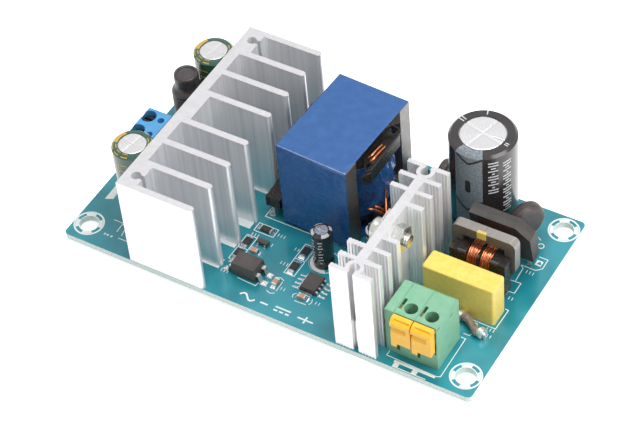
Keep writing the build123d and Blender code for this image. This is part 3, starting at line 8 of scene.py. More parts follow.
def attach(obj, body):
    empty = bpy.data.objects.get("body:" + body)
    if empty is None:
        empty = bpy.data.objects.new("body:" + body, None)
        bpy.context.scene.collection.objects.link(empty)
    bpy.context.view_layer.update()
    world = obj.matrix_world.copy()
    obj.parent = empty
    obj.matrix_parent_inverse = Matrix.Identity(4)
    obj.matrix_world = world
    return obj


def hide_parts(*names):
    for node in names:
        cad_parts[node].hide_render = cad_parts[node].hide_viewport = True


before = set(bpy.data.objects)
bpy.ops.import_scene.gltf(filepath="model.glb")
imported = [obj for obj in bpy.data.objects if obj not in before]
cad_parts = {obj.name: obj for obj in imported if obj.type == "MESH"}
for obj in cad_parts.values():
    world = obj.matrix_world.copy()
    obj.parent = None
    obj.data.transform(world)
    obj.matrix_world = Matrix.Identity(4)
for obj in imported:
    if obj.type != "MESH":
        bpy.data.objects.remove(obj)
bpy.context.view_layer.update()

# Lengths in this file are millimetres in the frame of the model, and MM makes metres of them.
MM = 0.001
BOARD_TOP = 3.6

# Cans: centre in x and y, radius of the sleeve, height of the sleeve above the board
BULK_CAN = ((31.25, 20.75), 7.85, 26.5)
OUTPUT_CANS = [((-41.8, y), 4.9, 20.2) for y in (-12.5, 22.5)]
FRONT_CAN = ((5.65, -8.95), 2.45, 11.0)
BACK_CAN = ((16.55, -2.85), 2.6, 11.0)
CAN_RIM = 0.6
SLEEVE_CURL = 0.2

# Screw holes of the board
MOUNT_HOLES = [(x, y) for x in (-49.75, 49.75) for y in (-23.5, 24.5)]

# Ink on the board: its lower and upper face, and the width of a fine line
INK_LOW, INK_HIGH = BOARD_TOP - 0.01, BOARD_TOP + 0.02
LINE = 0.2


# ---------------------------------------------------------------- materials


def linear(code):
    """A colour as the shader takes it, from its six figure screen code."""
    parts = [int(code[i : i + 2], 16) / 255 for i in (0, 2, 4)]
    parts = [c / 12.92 if c <= 0.04045 else ((c + 0.055) / 1.055) ** 2.4 for c in parts]
    return (*parts, 1.0)


class Surface:
    """A material whose colour, gloss and relief vary over the surface."""

    def __init__(self, name, code, roughness, metallic=0.0):
        self.name = name
        self.material = bpy.data.materials.new(name)
        self.material.use_nodes = True
        self.tree = self.material.node_tree
        self.shader = self.tree.nodes["Principled BSDF"]
        self.set("Base Color", linear(code))
        self.set("Roughness", roughness)
        self.set("Metallic", metallic)

    def set(self, socket, value):
        self.shader.inputs[socket].default_value = value

    def add(self, kind, **values):
        node = self.tree.nodes.new(kind)
        for name, value in values.items():
            node.inputs[name.replace("_", " ")].default_value = value
        return node

    def join(self, out, into):
        self.tree.links.new(out, into)

    def noise(self, size, stretch=(1, 1, 1), detail=3.0):
        """Noise with grains of about size millimetres, longer along the stretched axes."""
        coordinates = self.add("ShaderNodeTexCoord")
        mapping = self.add("ShaderNodeMapping", Scale=[1 / (size * MM * s) for s in stretch])
        texture = self.add("ShaderNodeTexNoise", Scale=1.0, Detail=detail)
        self.join(coordinates.outputs["Object"], mapping.inputs["Vector"])
        self.join(mapping.outputs["Vector"], texture.inputs["Vector"])
        return texture.outputs[0]

    def ramp(self, factor, stops):
        """A colour ramp through (place, code) stops."""
        ramp = self.add("ShaderNodeValToRGB")
        self.join(factor, ramp.inputs["Fac"])
        elements = ramp.color_ramp.elements
        while len(elements) < len(stops):
            elements.new(0.5)
        for element, (where, code) in zip(elements, stops):
            element.position = where
            element.color = linear(code)
        return ramp.outputs["Color"]

    def facing(self, beside, level):
        """One colour where the surface stands upright, another where it lies level."""
        coordinates = self.add("ShaderNodeTexCoord")
        split = self.add("ShaderNodeSeparateXYZ")
        size = self.add("ShaderNodeMath")
        size.operation = "ABSOLUTE"
        mix = self.add("ShaderNodeMix")
        mix.data_type = "RGBA"
        colour_a, colour_b = mix.inputs[6], mix.inputs[7]
        self.join(coordinates.outputs["Normal"], split.inputs[0])
        self.join(split.outputs["Z"], size.inputs[0])
        self.join(size.outputs[0], mix.inputs["Factor"])
        self.join(beside, colour_a)
        self.join(level, colour_b)
        self.join(mix.outputs[2], self.shader.inputs["Base Color"])

    def colours(self, factor, stops):
        self.join(self.ramp(factor, stops), self.shader.inputs["Base Color"])
        return self

    def gloss(self, factor, low, high):
        """Roughness from low to high over the middle of a noise."""
        spread = self.add("ShaderNodeMapRange", From_Min=0.3, From_Max=0.7, To_Min=low, To_Max=high)
        self.join(factor, spread.inputs["Value"])
        self.join(spread.outputs["Result"], self.shader.inputs["Roughness"])
        return self

    def relief(self, factor, depth):
        """Relief of this depth in millimetres, over what the surface has already."""
        bump = self.add("ShaderNodeBump", Strength=1.0, Distance=depth * MM)
        self.join(factor, bump.inputs["Height"])
        normal = self.shader.inputs["Normal"]
        if normal.is_linked:
            self.join(normal.links[0].from_socket, bump.inputs["Normal"])
        self.join(bump.outputs["Normal"], normal)
        return self


def board_mask():
    s = Surface("board_mask", "268C99", 0.22)
    s.set("Coat Weight", 0.4)
    s.set("Coat Roughness", 0.06)
    patches = s.ramp(s.noise(9.0, detail=1.0), [(0.40, "1F818E"), (0.60, "2E95A2")])
    edge = s.ramp(s.noise(0.25, (1, 1, 3)), [(0.3, "B9CFC9"), (0.7, "DCE9E4")])
    s.facing(edge, patches)
    return s.relief(s.noise(0.5), 0.004)


def extruded_aluminium():
    s = Surface("extruded_aluminium", "E8E8EA", 0.36, 0.55)
    streaks = s.noise(0.9, (1, 1, 90), detail=4.0)
    drawn = s.ramp(streaks, [(0.28, "DCDDDF"), (0.5, "EBEBED"), (0.7, "F5F5F6")])
    sawn = s.ramp(s.noise(1.2, detail=5.0), [(0.3, "CECDD0"), (0.7, "D8D7DA")])
    s.facing(drawn, sawn)
    s.gloss(s.noise(0.5, (1, 1, 60)), 0.28, 0.46)
    s.relief(s.noise(1.6, (1, 1, 200), detail=1.0), 0.035)
    return s.relief(s.noise(0.12), 0.002)


def bright_metal(name, code, rough, grain=0.4):
    s = Surface(name, code, rough, 1.0)
    s.gloss(s.noise(grain), rough * 0.7, rough * 1.4)
    return s.relief(s.noise(grain), 0.006)


def solder():
    s = Surface("solder_tin", "DDDFE1", 0.25, 1.0)
    s.colours(s.noise(0.5), [(0.3, "C6C8CA"), (0.7, "F0F1F3")])
    s.gloss(s.noise(0.4), 0.14, 0.38)
    return s.relief(s.noise(0.45), 0.03)


def moulded(name, dark, light, rough, grain=0.18, depth=0.006):
    """Moulded plastic or resin with a fine grain."""
    s = Surface(name, light, rough)
    s.colours(s.noise(2.2), [(0.3, dark), (0.7, light)])
    s.gloss(s.noise(0.6), rough * 0.85, rough * 1.2)
    return s.relief(s.noise(grain), depth)


def ferrite():
    s = Surface("ferrite", "57504A", 0.34)
    s.set("IOR", 2.5)
    # Painted light: the upright faces take a darker copy of the grey as painted shade, and the
    # level tops take a lighter copy as a painted highlight
    sides = s.ramp(s.noise(0.5, detail=6.0), [(0.3, "443D38"), (0.7, "564E48")])
    lit_tops = s.ramp(s.noise(0.5, detail=6.0), [(0.3, "6C655D"), (0.7, "888078")])
    s.facing(sides, lit_tops)
    s.gloss(s.noise(1.5), 0.28, 0.42)
    return s.relief(s.noise(0.15), 0.006)


def blue_tape():
    s = Surface("blue_tape", "2F5F9C", 0.24)
    s.colours(s.noise(2.4, detail=6.0), [(0.25, "2B5893"), (0.75, "3365A4")])
    s.gloss(s.noise(1.6), 0.18, 0.34)
    return s.relief(s.noise(3.2, detail=2.0), 0.02).relief(s.noise(0.3), 0.003)


def copper_wire():
    s = Surface("enamelled_copper", "D07A48", 0.26, 0.85)
    s.set("Coat Weight", 0.4)
    s.set("Coat Roughness", 0.15)
    s.colours(s.noise(0.8), [(0.3, "B4572A"), (0.7, "E49466")])
    return s.relief(s.noise(0.3), 0.01)


def sleeve(name, dark, light):
    s = Surface(name, light, 0.24)
    s.set("Coat Weight", 0.25)
    s.set("Coat Roughness", 0.12)
    s.colours(s.noise(3.0, (1, 1, 3)), [(0.3, dark), (0.7, light)])
    return s.relief(s.noise(1.8, (1, 1, 4), detail=2.0), 0.02).relief(s.noise(0.2), 0.003)


def shrink_sleeve():
    s = Surface("shrink_black", "3D3636", 0.38)
    s.colours(s.noise(1.5), [(0.3, "342D2D"), (0.7, "484140")])
    return s.relief(s.noise(0.8), 0.02)


def glazed_film():
    s = Surface("film_yellow", "F0D468", 0.3)
    s.colours(s.noise(1.2, detail=5.0), [(0.3, "EACB5C"), (0.7, "F4DA74")])
    return s.relief(s.noise(0.9), 0.02).relief(s.noise(0.15), 0.004)


def printed(name, dark, light, grain=0.2):
    """Printing ink, a little uneven."""
    s = Surface(name, light, 0.45)
    s.colours(s.noise(grain, detail=4.0), [(0.3, dark), (0.7, light)])
    return s.relief(s.noise(grain * 2), 0.004)


def coated(name, dark, light, rough):
    """A dipped coat, with soft waves and small pits."""
    s = Surface(name, light, rough)
    s.colours(s.noise(0.8, detail=5.0), [(0.3, dark), (0.7, light)])
    return s.relief(s.noise(1.4), 0.06).relief(s.noise(0.2), 0.01)


# The materials of the record's slots, by name
slot_surfaces = (
    board_mask(),
    solder(),
    extruded_aluminium(),
    bright_metal("pin_tin", "E2E2E0", 0.4),
    moulded("pad_grey", "8E9294", "A6AAAB", 0.6),
    bright_metal("device_metal", "C2C0BB", 0.28),
    moulded("device_epoxy", "443E3D", "544D4B", 0.5, 0.12, 0.01),
    bright_metal("screw_zinc", "C4C4C0", 0.26),
    ferrite(),
    blue_tape(),
    moulded("bobbin_black", "221F1D", "302C29", 0.26),
    copper_wire(),
    moulded("yellow_wrap", "C9AE55", "DCC473", 0.35),
    bright_metal("can_aluminium", "DAD9DB", 0.3, 0.25),
    sleeve("sleeve_black", "272324", "342F30"),
    sleeve("sleeve_green", "30584A", "3F6A5A"),
    shrink_sleeve(),
    glazed_film(),
    moulded("bridge_epoxy", "2E2A28", "3B3734", 0.5, 0.15, 0.012),
    coated("thermistor_coat", "38322F", "484140", 0.45),
    coated("safety_coat", "3A342F", "4A423C", 0.42),
    coated("resistor_coat", "6E6157", "948578", 0.22),
    moulded("chip_ceramic", "BE8E6E", "CFA284", 0.4, 0.1),
    moulded("chip_glass", "2C2A2A", "3C3938", 0.3, 0.1),
    moulded("green_nylon", "7AB090", "85B999", 0.42),
    moulded("orange_nylon", "FBBB2A", "FFCA40", 0.36),
    bright_metal("contact_brass", "8E7F52", 0.42),
    moulded("blue_nylon", "56A9E4", "66B6EE", 0.32),
    bright_metal("cage_steel", "B9BABA", 0.3),
)
materials = {surface.name: surface for surface in slot_surfaces}

# Inks, finishes and painted highlights that are no slot of their own
white_ink = printed("white_ink", "DCE8E6", "F0F6F5")
grey_ink = printed("grey_ink", "5A626A", "98A1A8", 0.3)
# A pale blue painted highlight for one strip of each fold of the core's tape
tape_edge_highlight = printed("tape_edge_highlight", "7F97CB", "C3CDEA", 0.9)
# Pale print, which on the small cans' rims also stands for painted highlights
pale_ink_and_highlight = printed("pale_ink_and_highlight", "C4C6C8", "DADCDE")
gold_ink = printed("gold_ink", "C39E42", "DDB95C")
black_ink = printed("black_ink", "1C1A1A", "2A2727")
# Painted shade: the output screws sit deep in their holes, so their steel is painted dark, and
# tinted blue as a painted reflection of the blue walls round them
screw_steel_in_painted_shade = bright_metal("screw_steel_in_painted_shade", "34404E", 0.42)
rod_ferrite = moulded("rod_ferrite", "433D3E", "524C4D", 0.4, 0.3, 0.02)

# Each CAD node keeps its shape, and takes the material of its slot, except the rod inductor's core,
# and the output screws, which take a steel painted dark and bluish as painted shade deep in their
# holes
for name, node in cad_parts.items():
    for place, held in enumerate(node.data.materials):
        surface = materials[held.name.split(".")[0]]
        if name.startswith("output_screw"):
            surface = screw_steel_in_painted_shade
        elif name == "rod_inductor_core":
            surface = rod_ferrite
        node.data.materials[place] = surface.material


# ---------------------------------------------------------------- pieces


class Form:
    """Points in millimetres and faces, gathered for one piece."""

    def __init__(self):
        self.points = []
        self.faces = []

    def loft(self, rings, closed=False):
        """A skin over rings of equally many points, capped unless it closes on itself."""
        count = len(rings[0])
        first = len(self.points)
        last = first + (len(rings) - 1) * count
        self.points += [tuple(point) for ring in rings for point in ring]
        for i in range(len(rings) if closed else len(rings) - 1):
            here = first + i * count
            there = first + (i + 1) % len(rings) * count
            for k in range(count):
                m = (k + 1) % count
                self.faces.append((here + k, here + m, there + m, there + k))
        if not closed:
            self.faces.append(tuple(reversed(range(first, first + count))))
            self.faces.append(tuple(range(last, last + count)))

    def slab(self, outline, low, high):
        """A flat plate over an outline in x and y."""
        self.loft([[(x, y, z) for x, y in outline] for z in (low, high)])

    def stroke(self, path, width, low, high, closed=False):
        """A flat line of ink along a path in x and y, mitred at its corners."""
        rings = []
        for i, here in enumerate(path):
            here = Vector(here)
            came = (here - Vector(path[i - 1])).normalized()
            goes = (Vector(path[(i + 1) % len(path)]) - here).normalized()
            if not closed and i == 0:
                came = goes
            if not closed and i == len(path) - 1:
                goes = came
            across = Vector((-came.y - goes.y, came.x + goes.x)).normalized()
            reach = width / 2 / max(0.4, across.dot(Vector((-came.y, came.x))))
            a, b = here + across * reach, here - across * reach
            rings.append([(a.x, a.y, low), (b.x, b.y, low), (b.x, b.y, high), (a.x, a.y, high)])
        self.loft(rings, closed)

    def tube(self, path, radius, sides=8, closed=False):
        """A round wire along a path."""
        points = [Vector(p) for p in path]
        rings = []
        side = None
        for i, here in enumerate(points):
            before = points[i - 1] if i or closed else here
            after = points[(i + 1) % len(points)] if i < len(points) - 1 or closed else here
            along = (after - before).normalized()
            if side is None:
                side = along.orthogonal().normalized()
            side = (side - along * side.dot(along)).normalized()
            other = along.cross(side)
            ring = []
            for k in range(sides):
                turn = 2 * math.pi * k / sides
                ring.append(here + (side * math.cos(turn) + other * math.sin(turn)) * radius)
            rings.append(ring)
        self.loft(rings, closed)

    def patch(self, shape, steps_u, steps_v, proud, sunk):
        """A thin skin over shape(u, v, lift), from sunk under a surface to proud of it."""
        rings = []
        for i in range(steps_u + 1):
            u = i / steps_u
            ring = [shape(u, j / steps_v, proud) for j in range(steps_v + 1)]
            ring += [shape(u, j / steps_v, -sunk) for j in reversed(range(steps_v + 1))]
            rings.append(ring)
        self.loft(rings)

    def piece(self, name, surface, smooth=False):
        """The Blender object of this form, on the module, with the slot of its material."""
        data = bpy.data.meshes.new(name)
        data.from_pydata([Vector(p) * MM for p in self.points], [], self.faces)
        data.validate()
        made = bmesh.new()
        made.from_mesh(data)
        bmesh.ops.recalc_face_normals(made, faces=made.faces)
        made.to_mesh(data)
        made.free()
        piece = bpy.data.objects.new(name, data)
        bpy.context.scene.collection.objects.link(piece)
        data.materials.append(surface.material)
        for polygon in data.polygons:
            polygon.use_smooth = smooth
        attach(piece, "module")
        return piece


def around(centre, reach, turn, z):
    """A point at a distance and direction, in radians, from an upright axis."""
    return (centre[0] + reach * math.cos(turn), centre[1] + reach * math.sin(turn), z)


def arc(centre, radius, start, end, steps=24):
    """Points along an arc in x and y, with its ends in degrees."""
    turns = [math.radians(start + (end - start) * i / steps) for i in range(steps + 1)]
    return [around(centre, radius, turn, 0)[:2] for turn in turns]


def sector(centre, inner, outer, start, end, steps=12):
    """Outline of a ring's sector."""
    return arc(centre, outer, start, end, steps) + arc(centre, inner, end, start, steps)


def box_outline(x0, y0, x1, y1):
    return [(x0, y0), (x1, y0), (x1, y1), (x0, y1)]


def board_print():
    """Outlines, marks and plain fields of white ink on top of the board."""
    # Fine lines through (x, y) points on the board
    lines = (
        [(-13.9, -0.1), (-13.85, -2.85), (-1.4, -2.9), (15.2, -2.9)],
        [(-14.0, -7.8), (-14.0, -5.2), (-8.8, -5.2), (-8.8, -7.8), (-14.0, -7.8)],
        [(-14.65, -9.6), (-11.95, -9.6), (-11.95, -13.75), (-14.65, -13.75), (-14.65, -9.6)],
        [(-14.65, -13.75), (-14.65, -17.8), (-11.95, -17.8), (-11.95, -13.75)],
        [(-1.0, -6.1), (1.7, -6.1), (1.7, -10.95), (-1.0, -10.95), (-1.0, -6.1)],
        [(-1.0, -10.95), (-1.0, -15.85), (1.7, -15.85), (1.7, -10.95)],
        [(-1.81, -17.98), (-0.73, -17.57), (0.31, -18.02)],
        [(0.25, -18.47), (0.32, -21.5)],
        [(-1.74, -22.27), (-0.62, -22.67), (0.39, -22.16)],
        [(4.82, -19.89), (4.26, -20.59), (4.54, -21.42)],
        [(5.46, -22.05), (8.42, -21.91)],
        [(8.94, -19.86), (9.27, -20.79), (9.0, -21.61)],
        [(6.66, -19.5), (8.21, -19.54)],
        [(-9.67, -21.98), (-4.72, -22.26), (-4.49, -21.02)],
        [(5.22, -18.72), (8.06, -18.93), (8.04, -18.52)],
        [
            (31.6, -14.3), (31.6, -26.25), (44.2, -26.6),
            (44.96, -26.2), (44.82, -14.36), (43.66, -14.3),
        ],
        [(45.85, 10.48), (46.72, 9.83), (46.89, 5.72)],
        [(44.5, 5.4), (48.34, 5.55), (48.35, 2.32), (46.1, 2.24)],
        [(46.84, 2.09), (46.85, 1.0)],
        [(48.44, 14.57), (50.62, 14.57), (50.7, 11.67), (49.5, 10.52), (45.96, 10.54)],
        [(48.62, -2.72), (49.47, -2.8), (49.35, -8.86), (43.38, -8.76)],
        [(43.5, -9.24), (45.03, -9.33), (45.5, -9.96)],
        [(43.67, -13.17), (45.13, -13.12), (45.34, -12.5)],
        [(45.6, 19.8), (46.5, 19.3)],
        [(-42.4, -22.8), (-42.5, -20.3), (-41.2, -20.3), (-40.7, -23.4)],
        [(-41.0, -24.3), (-37.9, -24.3)],
        [(-45.1, -19.9), (-42.6, -19.9)],
    )
    form = Form()
    for line in lines:
        form.stroke(line, LINE, INK_LOW, INK_HIGH)
    for x in (-44.5, -43.7, -42.65):
        form.stroke(arc((x, -24.6), 0.2, 0, 330, 8), LINE, INK_LOW, INK_HIGH)
    form.stroke(arc((47.3, 17.7), 0.7, 0, 345, 20), LINE, INK_LOW, INK_HIGH, True)
    # A ring and a half disc under the front can
    form.stroke(arc(FRONT_CAN[0], 3.45, 0, 355, 48), LINE, INK_LOW, INK_HIGH, True)
    form.slab(arc((5.4, -9.2), 3.3, 150, 310, 24), INK_LOW, INK_HIGH)
    # An arrow's head at the output end
    form.slab([(-50.9, -15.3), (-49, -14.4), (-49.3, -11.5), (-51, -10.5)], INK_LOW, INK_HIGH)
    # Two rings and four fields round each screw hole
    for hole in MOUNT_HOLES:
        form.stroke(arc(hole, 2.42, 0, 355, 48), LINE, INK_LOW, INK_HIGH, True)
        form.stroke(arc(hole, 3.5, 0, 355, 48), 0.42, INK_LOW, INK_HIGH, True)
        for start in (-1, 89, 179, 269):
            form.slab(sector(hole, 2.5, 3.35, start, start + 47), INK_LOW, INK_HIGH)
    # Fields between the fins of the output heatsink
    for bar_y in (-21.6, -14.6, -7.9, 3.4):
        form.slab(box_outline(-33.5, bar_y, -15.1, bar_y + 2.9), INK_LOW, INK_HIGH)
    # A bracket in front of the input terminal
    form.slab(box_outline(33.85, -27.25, 44.0, -26.6), INK_LOW, INK_HIGH)
    for leg_x in (34.1, 38.7):
        form.slab(box_outline(leg_x, -28.3, leg_x + 1.3, -27.25), INK_LOW, INK_HIGH)
    form.slab(box_outline(34.1, -28.55, 42.4, -28.3), INK_LOW, INK_HIGH)
    # A square with an open triangle in it, in three fields
    for outline in (
        [(48.5, 12.0), (50.0, 12.0), (50.0, 12.4), (48.8, 12.4), (48.5, 12.7)],
        [(50.0, 12.4), (50.0, 13.6), (49.6, 13.6), (49.45, 13.3)],
        [(48.5, 12.7), (48.8, 12.4), (49.2, 13.3), (49.45, 13.3), (49.6, 13.6), (48.5, 13.6)],
    ):
        form.slab(outline, INK_LOW, INK_HIGH)
    # Rows of short strokes: where each starts, and its length
    spots = (
        (-8.4, -6.55, 2.5), (-14.1, -8.95, 2.2), (-14.6, -21.5, 2.8), (-2.7, -8.5, 1.5),
        (-3.5, -13.55, 2.4), (0.6, -20.3, 1.7), (9.8, -20.45, 1.6), (-8.1, -10.0, 0.9),
        (47.5, 9.3, 2.1), (47.5, 0.55, 1.5), (47.3, -9.6, 2.2), (48.2, -11.4, 1.3),
    )
    for x, y, length in spots:
        for step in range(max(1, round(length / 0.8))):
            place = x + 0.4 + step * 0.8
            form.stroke([(place, y - 0.45), (place, y + 0.45)], 0.16, INK_LOW, INK_HIGH)
    form.piece("board_print", white_ink)


def power_symbols():
    """Large plain symbols along the front of the board: a wave, dashes and a cross."""
    form = Form()
    y = -25.9
    strokes = [[(-6.6 + 0.2 * i, y + 0.75 * math.sin(math.pi * i / 10)) for i in range(21)]]
    strokes += [[(-1.2, y), (0.8, y)], [(2.6, y + 0.5), (6.6, y + 0.5)]]
    strokes += [[(x, y - 0.5), (x + 1.0, y - 0.5)] for x in (2.6, 4.1, 5.6)]
    strokes += [[(8.6, y), (12.6, y)]]
    strokes += [[(10.6, y + low), (10.6, y + low + 0.79)] for low in (-1.0, 0.21)]
    for path in strokes:
        form.stroke(path, 0.42, INK_LOW, INK_HIGH)
    form.piece("power_symbols", white_ink)


def solder_lands():
    """Tinned lands and solder fillets round the chips, and an open land by the transformer."""
    form = Form()
    form.stroke(arc((-12.65, -1.15), 0.72, 0, 350, 28), 0.42, INK_LOW, BOARD_TOP + 0.05, True)
    # Chips: middle, turn in degrees, length and width
    chips = (
        (-11.35, -6.5, 0, 3.2, 1.6), (-13.3, -11.8, 90, 3.2, 1.6), (-13.3, -15.6, 90, 3.2, 1.6),
        (0.35, -8.35, 90, 3.2, 1.6), (0.35, -13.55, 90, 3.2, 1.6), (-0.85, -19.65, 90, 2.0, 1.25),
        (6.7, -20.6, 0, 2.0, 1.25), (-10.3, -13.6, 0, 2.0, 1.25),
    )
    for x, y, turn, length, width in chips:
        along = Vector((math.cos(math.radians(turn)), math.sin(math.radians(turn))))
        across = Vector((-along.y, along.x))
        for end in (-1, 1):
            # A fillet: how far it reaches past the chip's end at each height
            rings = []
            for rise, reach in ((0.0, 0.62), (0.10, 0.34), (0.26, 0.14), (0.46, 0.03)):
                spread = width / 2 * (0.98 - rise * 0.35)
                ring = []
                for out, side in ((-0.3, -1), (reach, -1), (reach, 1), (-0.3, 1)):
                    place = Vector((x, y)) + along * end * (length / 2 + out)
                    place += across * side * spread
                    ring.append((place.x, place.y, BOARD_TOP + rise))
                rings.append(ring)
            form.loft(rings)
    # Packages: middle, near and far end of a land, its half width, pitch and leads on a side
    packages = (
        ((-8.3, -19.4), 4.1, 5.9, 0.75, 2.54, 2),
        ((7.05, -16.45), 2.35, 4.35, 0.28, 1.27, 4),
    )
    for (x, middle), near, far, half, pitch, count in packages:
        for side in (-1, 1):
            for step in range(count):
                y = middle + (step - (count - 1) / 2) * pitch
                rings = []
                for rise, back in ((0.0, 0.0), (0.07, 0.06), (0.17, 0.22), (0.2, 0.4)):
                    low, high = sorted((x + side * (near + back), x + side * (far - back)))
                    spread = max(0.12, half - back * 0.7)
                    outline = box_outline(low, y - spread, high, y + spread)
                    rings.append([(a, b, BOARD_TOP + rise) for a, b in outline])
                form.loft(rings)
    form.piece("solder_lands", materials["solder_tin"])


def rounded_loop(half_wide, half_tall, corner, corner_steps=6, flat_steps=1):
    """Points (a, b) and outward directions round a rectangle with rounded corners."""
    corners = ((1, 1, 0), (-1, 1, 90), (-1, -1, 180), (1, -1, 270))
    spots = []
    for side_a, side_b, start in corners:
        spots.append([])
        for step in range(corner_steps):
            turn = math.radians(start + 90 * step / (corner_steps - 1))
            out_a, out_b = math.cos(turn), math.sin(turn)
            a = side_a * (half_wide - corner) + corner * out_a
            b = side_b * (half_tall - corner) + corner * out_b
            spots[-1].append((a, b, out_a, out_b))
    loop = []
    for number, turned in enumerate(spots):
        loop += turned
        a0, b0, out_a, out_b = turned[-1]
        a1, b1 = spots[(number + 1) % len(spots)][0][:2]
        for step in range(1, flat_steps):
            share = step / flat_steps
            loop.append((a0 + (a1 - a0) * share, b0 + (b1 - b0) * share, out_a, out_b))
    return loop


def choke_turns():
    """Enamelled turns round the lower bar, in two coils, each laid with a small slant."""
    form = Form()
    centre_y, centre_z = 4.2, 9.9
    half_wide, half_tall = 3.93, 3.83
    loop = rounded_loop(half_wide, half_tall, 2.6)
    turns, radius = 5, 0.27
    for first, last in ((37.35, 40.1), (40.6, 43.35)):
        gap = (last - first - 2 * radius) / (turns - 1)
        for number in range(turns):
            x = first + radius + gap * number
            slant = 0.16 * (1 if number % 2 else -1)
            if number in (0, turns - 1):
                slant = 0.0
            path = []
            for y, z, _, _ in loop:
                lift = 1 + 0.012 * math.sin(3 * x + y)
                path.append((x + slant * y / half_wide, centre_y + y * lift, centre_z + z * lift))
            form.tube(path, radius, 8, True)
    form.piece("choke_turns", materials["enamelled_copper"], smooth=True)


def core_tape():
    """The tape loop round the core, with rounded folds and small bubbles under it."""
    form = Form()
    centre = Vector((1.05, 10.4, 16.65))
    turn = math.radians(-3)
    along = Vector((-math.sin(turn), math.cos(turn), 0))
    across = Vector((math.cos(turn), math.sin(turn), 0))
    half_length, half_height, half_width = 13.4, 12.55, 9.25
    thickness, fold = 0.19, 0.45
    corner_steps, flat_steps, width_steps = 6, 44, 36
    loop = rounded_loop(half_length, half_height, fold, corner_steps, flat_steps)
    rings = []
    for a, b, out_a, out_b in loop:
        folded = abs(a) - half_length + fold > 0 and abs(b) - half_height + fold > 0
        ring = []
        for step in range(width_steps + 1):
            w = -half_width + 2 * half_width * step / width_steps
            edge = min(1.0, 6 * (1 - abs(w) / half_width))
            swell = noise.noise(Vector((a * 0.23, b * 0.23, w * 0.23))) * 0.10
            bubble = noise.noise(Vector((a * 0.8 + 9, b * 0.8, w * 0.8)))
            swell += max(0.0, bubble - 0.25) * 0.22
            lift = 0.0 if folded else max(0.0, swell) * edge
            rise = Vector((0, 0, b + out_b * lift))
            ring.append(centre + along * (a + out_a * lift) + across * w + rise)
        for w in (half_width, -half_width):
            rise = Vector((0, 0, b - out_b * thickness))
            ring.append(centre + along * (a - out_a * thickness) + across * w + rise)
        rings.append(ring)
    form.loft(rings, closed=True)
    piece = form.piece("core_tape", materials["blue_tape"], smooth=True)
    # One strip of each fold is painted pale, as a painted highlight along the tape's edge
    piece.data.materials.append(tape_edge_highlight.material)
    ring_faces = width_steps + 3
    side_rings = corner_steps + flat_steps - 1
    for polygon in piece.data.polygons:
        ring, strip = divmod(polygon.index, ring_faces)
        if ring % side_rings == 2 and strip < width_steps:
            polygon.material_index = 1
    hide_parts("transformer_core_tape")


def bobbin_ledge():
    """The raised lip and the skirt of the bobbin's ledge, over the open side of the core."""
    form = Form()
    lip = [(8.95, 5.9), (11.5, 2.2), (12.4, 3.3), (12.4, 16.4), (11.4, 17.4), (9.0, 17.7)]
    form.stroke(lip, 0.4, 25.35, 25.75, True)
    skirt = [(11.35, 1.3), (12.42, 2.6), (12.42, 15.8), (11.6, 17.0)]
    form.stroke(skirt, 0.4, 22.2, 24.6)
    for x, y in ((9.9, 12.4), (10.1, 13.6)):
        form.stroke([(x, y), (x + 1.6, y + 2.2)], 0.35, 25.35, 25.62)
    form.piece("bobbin_ledge", materials["bobbin_black"])


def resistor_body():
    """The small fusible resistor, waisted between its two swollen ends."""
    form = Form()
    start, end = Vector((42.1, -9.43, 5.1)), Vector((47.1, -12.77, 5.1))
    axis = (end - start).normalized()
    side = Vector((0, 0, 1))
    other = axis.cross(side)
    # Share of the length and the radius there, for one half, which the other mirrors
    half = ((0.0, 0.9), (0.03, 1.02), (0.1, 1.09), (0.2, 1.06), (0.3, 0.9), (0.4, 0.82))
    profile = half + tuple((1 - share, radius) for share, radius in reversed(half))
    turns = [math.tau * k / 28 for k in range(28)]
    rings = []
    for share, radius in profile:
        middle = start.lerp(end, share)
        rings.append([middle + (side * math.cos(t) + other * math.sin(t)) * radius for t in turns])
    form.loft(rings)
    piece = form.piece("resistor_body", materials["resistor_coat"], smooth=True)
    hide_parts("fusible_resistor")


def crumpled_tape():
    """The tape over the coil where the core is open, with its folds."""
    form = Form()
    centre = (1.05, 10.4)

    def fold(u, v, lift):
        angle = math.radians(-56 + 112 * u)
        z = 8.95 + 15.2 * v
        radius = 10.62
        if lift > 0:
            spot = Vector((angle * 4.2 + z * 0.10, z * 0.22 - angle, 3.7))
            ridge = 1 - abs(noise.noise(spot)) * 2
            edge = min(1, 6 * u, 6 * (1 - u), 8 * v, 8 * (1 - v))
            radius += (0.12 + 0.6 * max(0.0, ridge) ** 3) * edge
        return around(centre, radius + lift, angle, z)

    form.patch(fold, 96, 48, 0.03, 0.05)
    form.piece("crumpled_tape", materials["blue_tape"], smooth=True)


def coil_leads():
    """Ends of the windings that cross the top of the bobbin's ledge, and two at its foot."""
    form = Form()
    top = 25.4
    for x, y0, y1 in ((10.2, 7.3, 10.9), (11.1, 6.5, 10.6)):
        path = [(x - 0.6, y0 - 0.9, top - 0.1)]
        for step in range(9):
            share = step / 8
            rise = 0.28 + 0.12 * math.sin(3 * share)
            path.append((x + 0.4 * share, y0 + (y1 - y0) * share, top + rise))
        path.append((x + 0.1, y1 + 0.8, top - 0.1))
        form.tube(path, 0.3)
    left = [(11.2, 2.2, 13.6), (12.4, 2.8, 13.1), (13.0, 3.8, 11.9), (13.3, 5.0, 10.4)]
    form.tube(left + [(13.4, 5.7, 9.3)], 0.3)
    form.tube([(11.3, 4.6, 12.4), (12.5, 4.9, 11.9), (13.1, 5.5, 10.9), (13.4, 6.5, 9.3)], 0.3)
    form.piece("coil_leads", materials["enamelled_copper"], smooth=True)


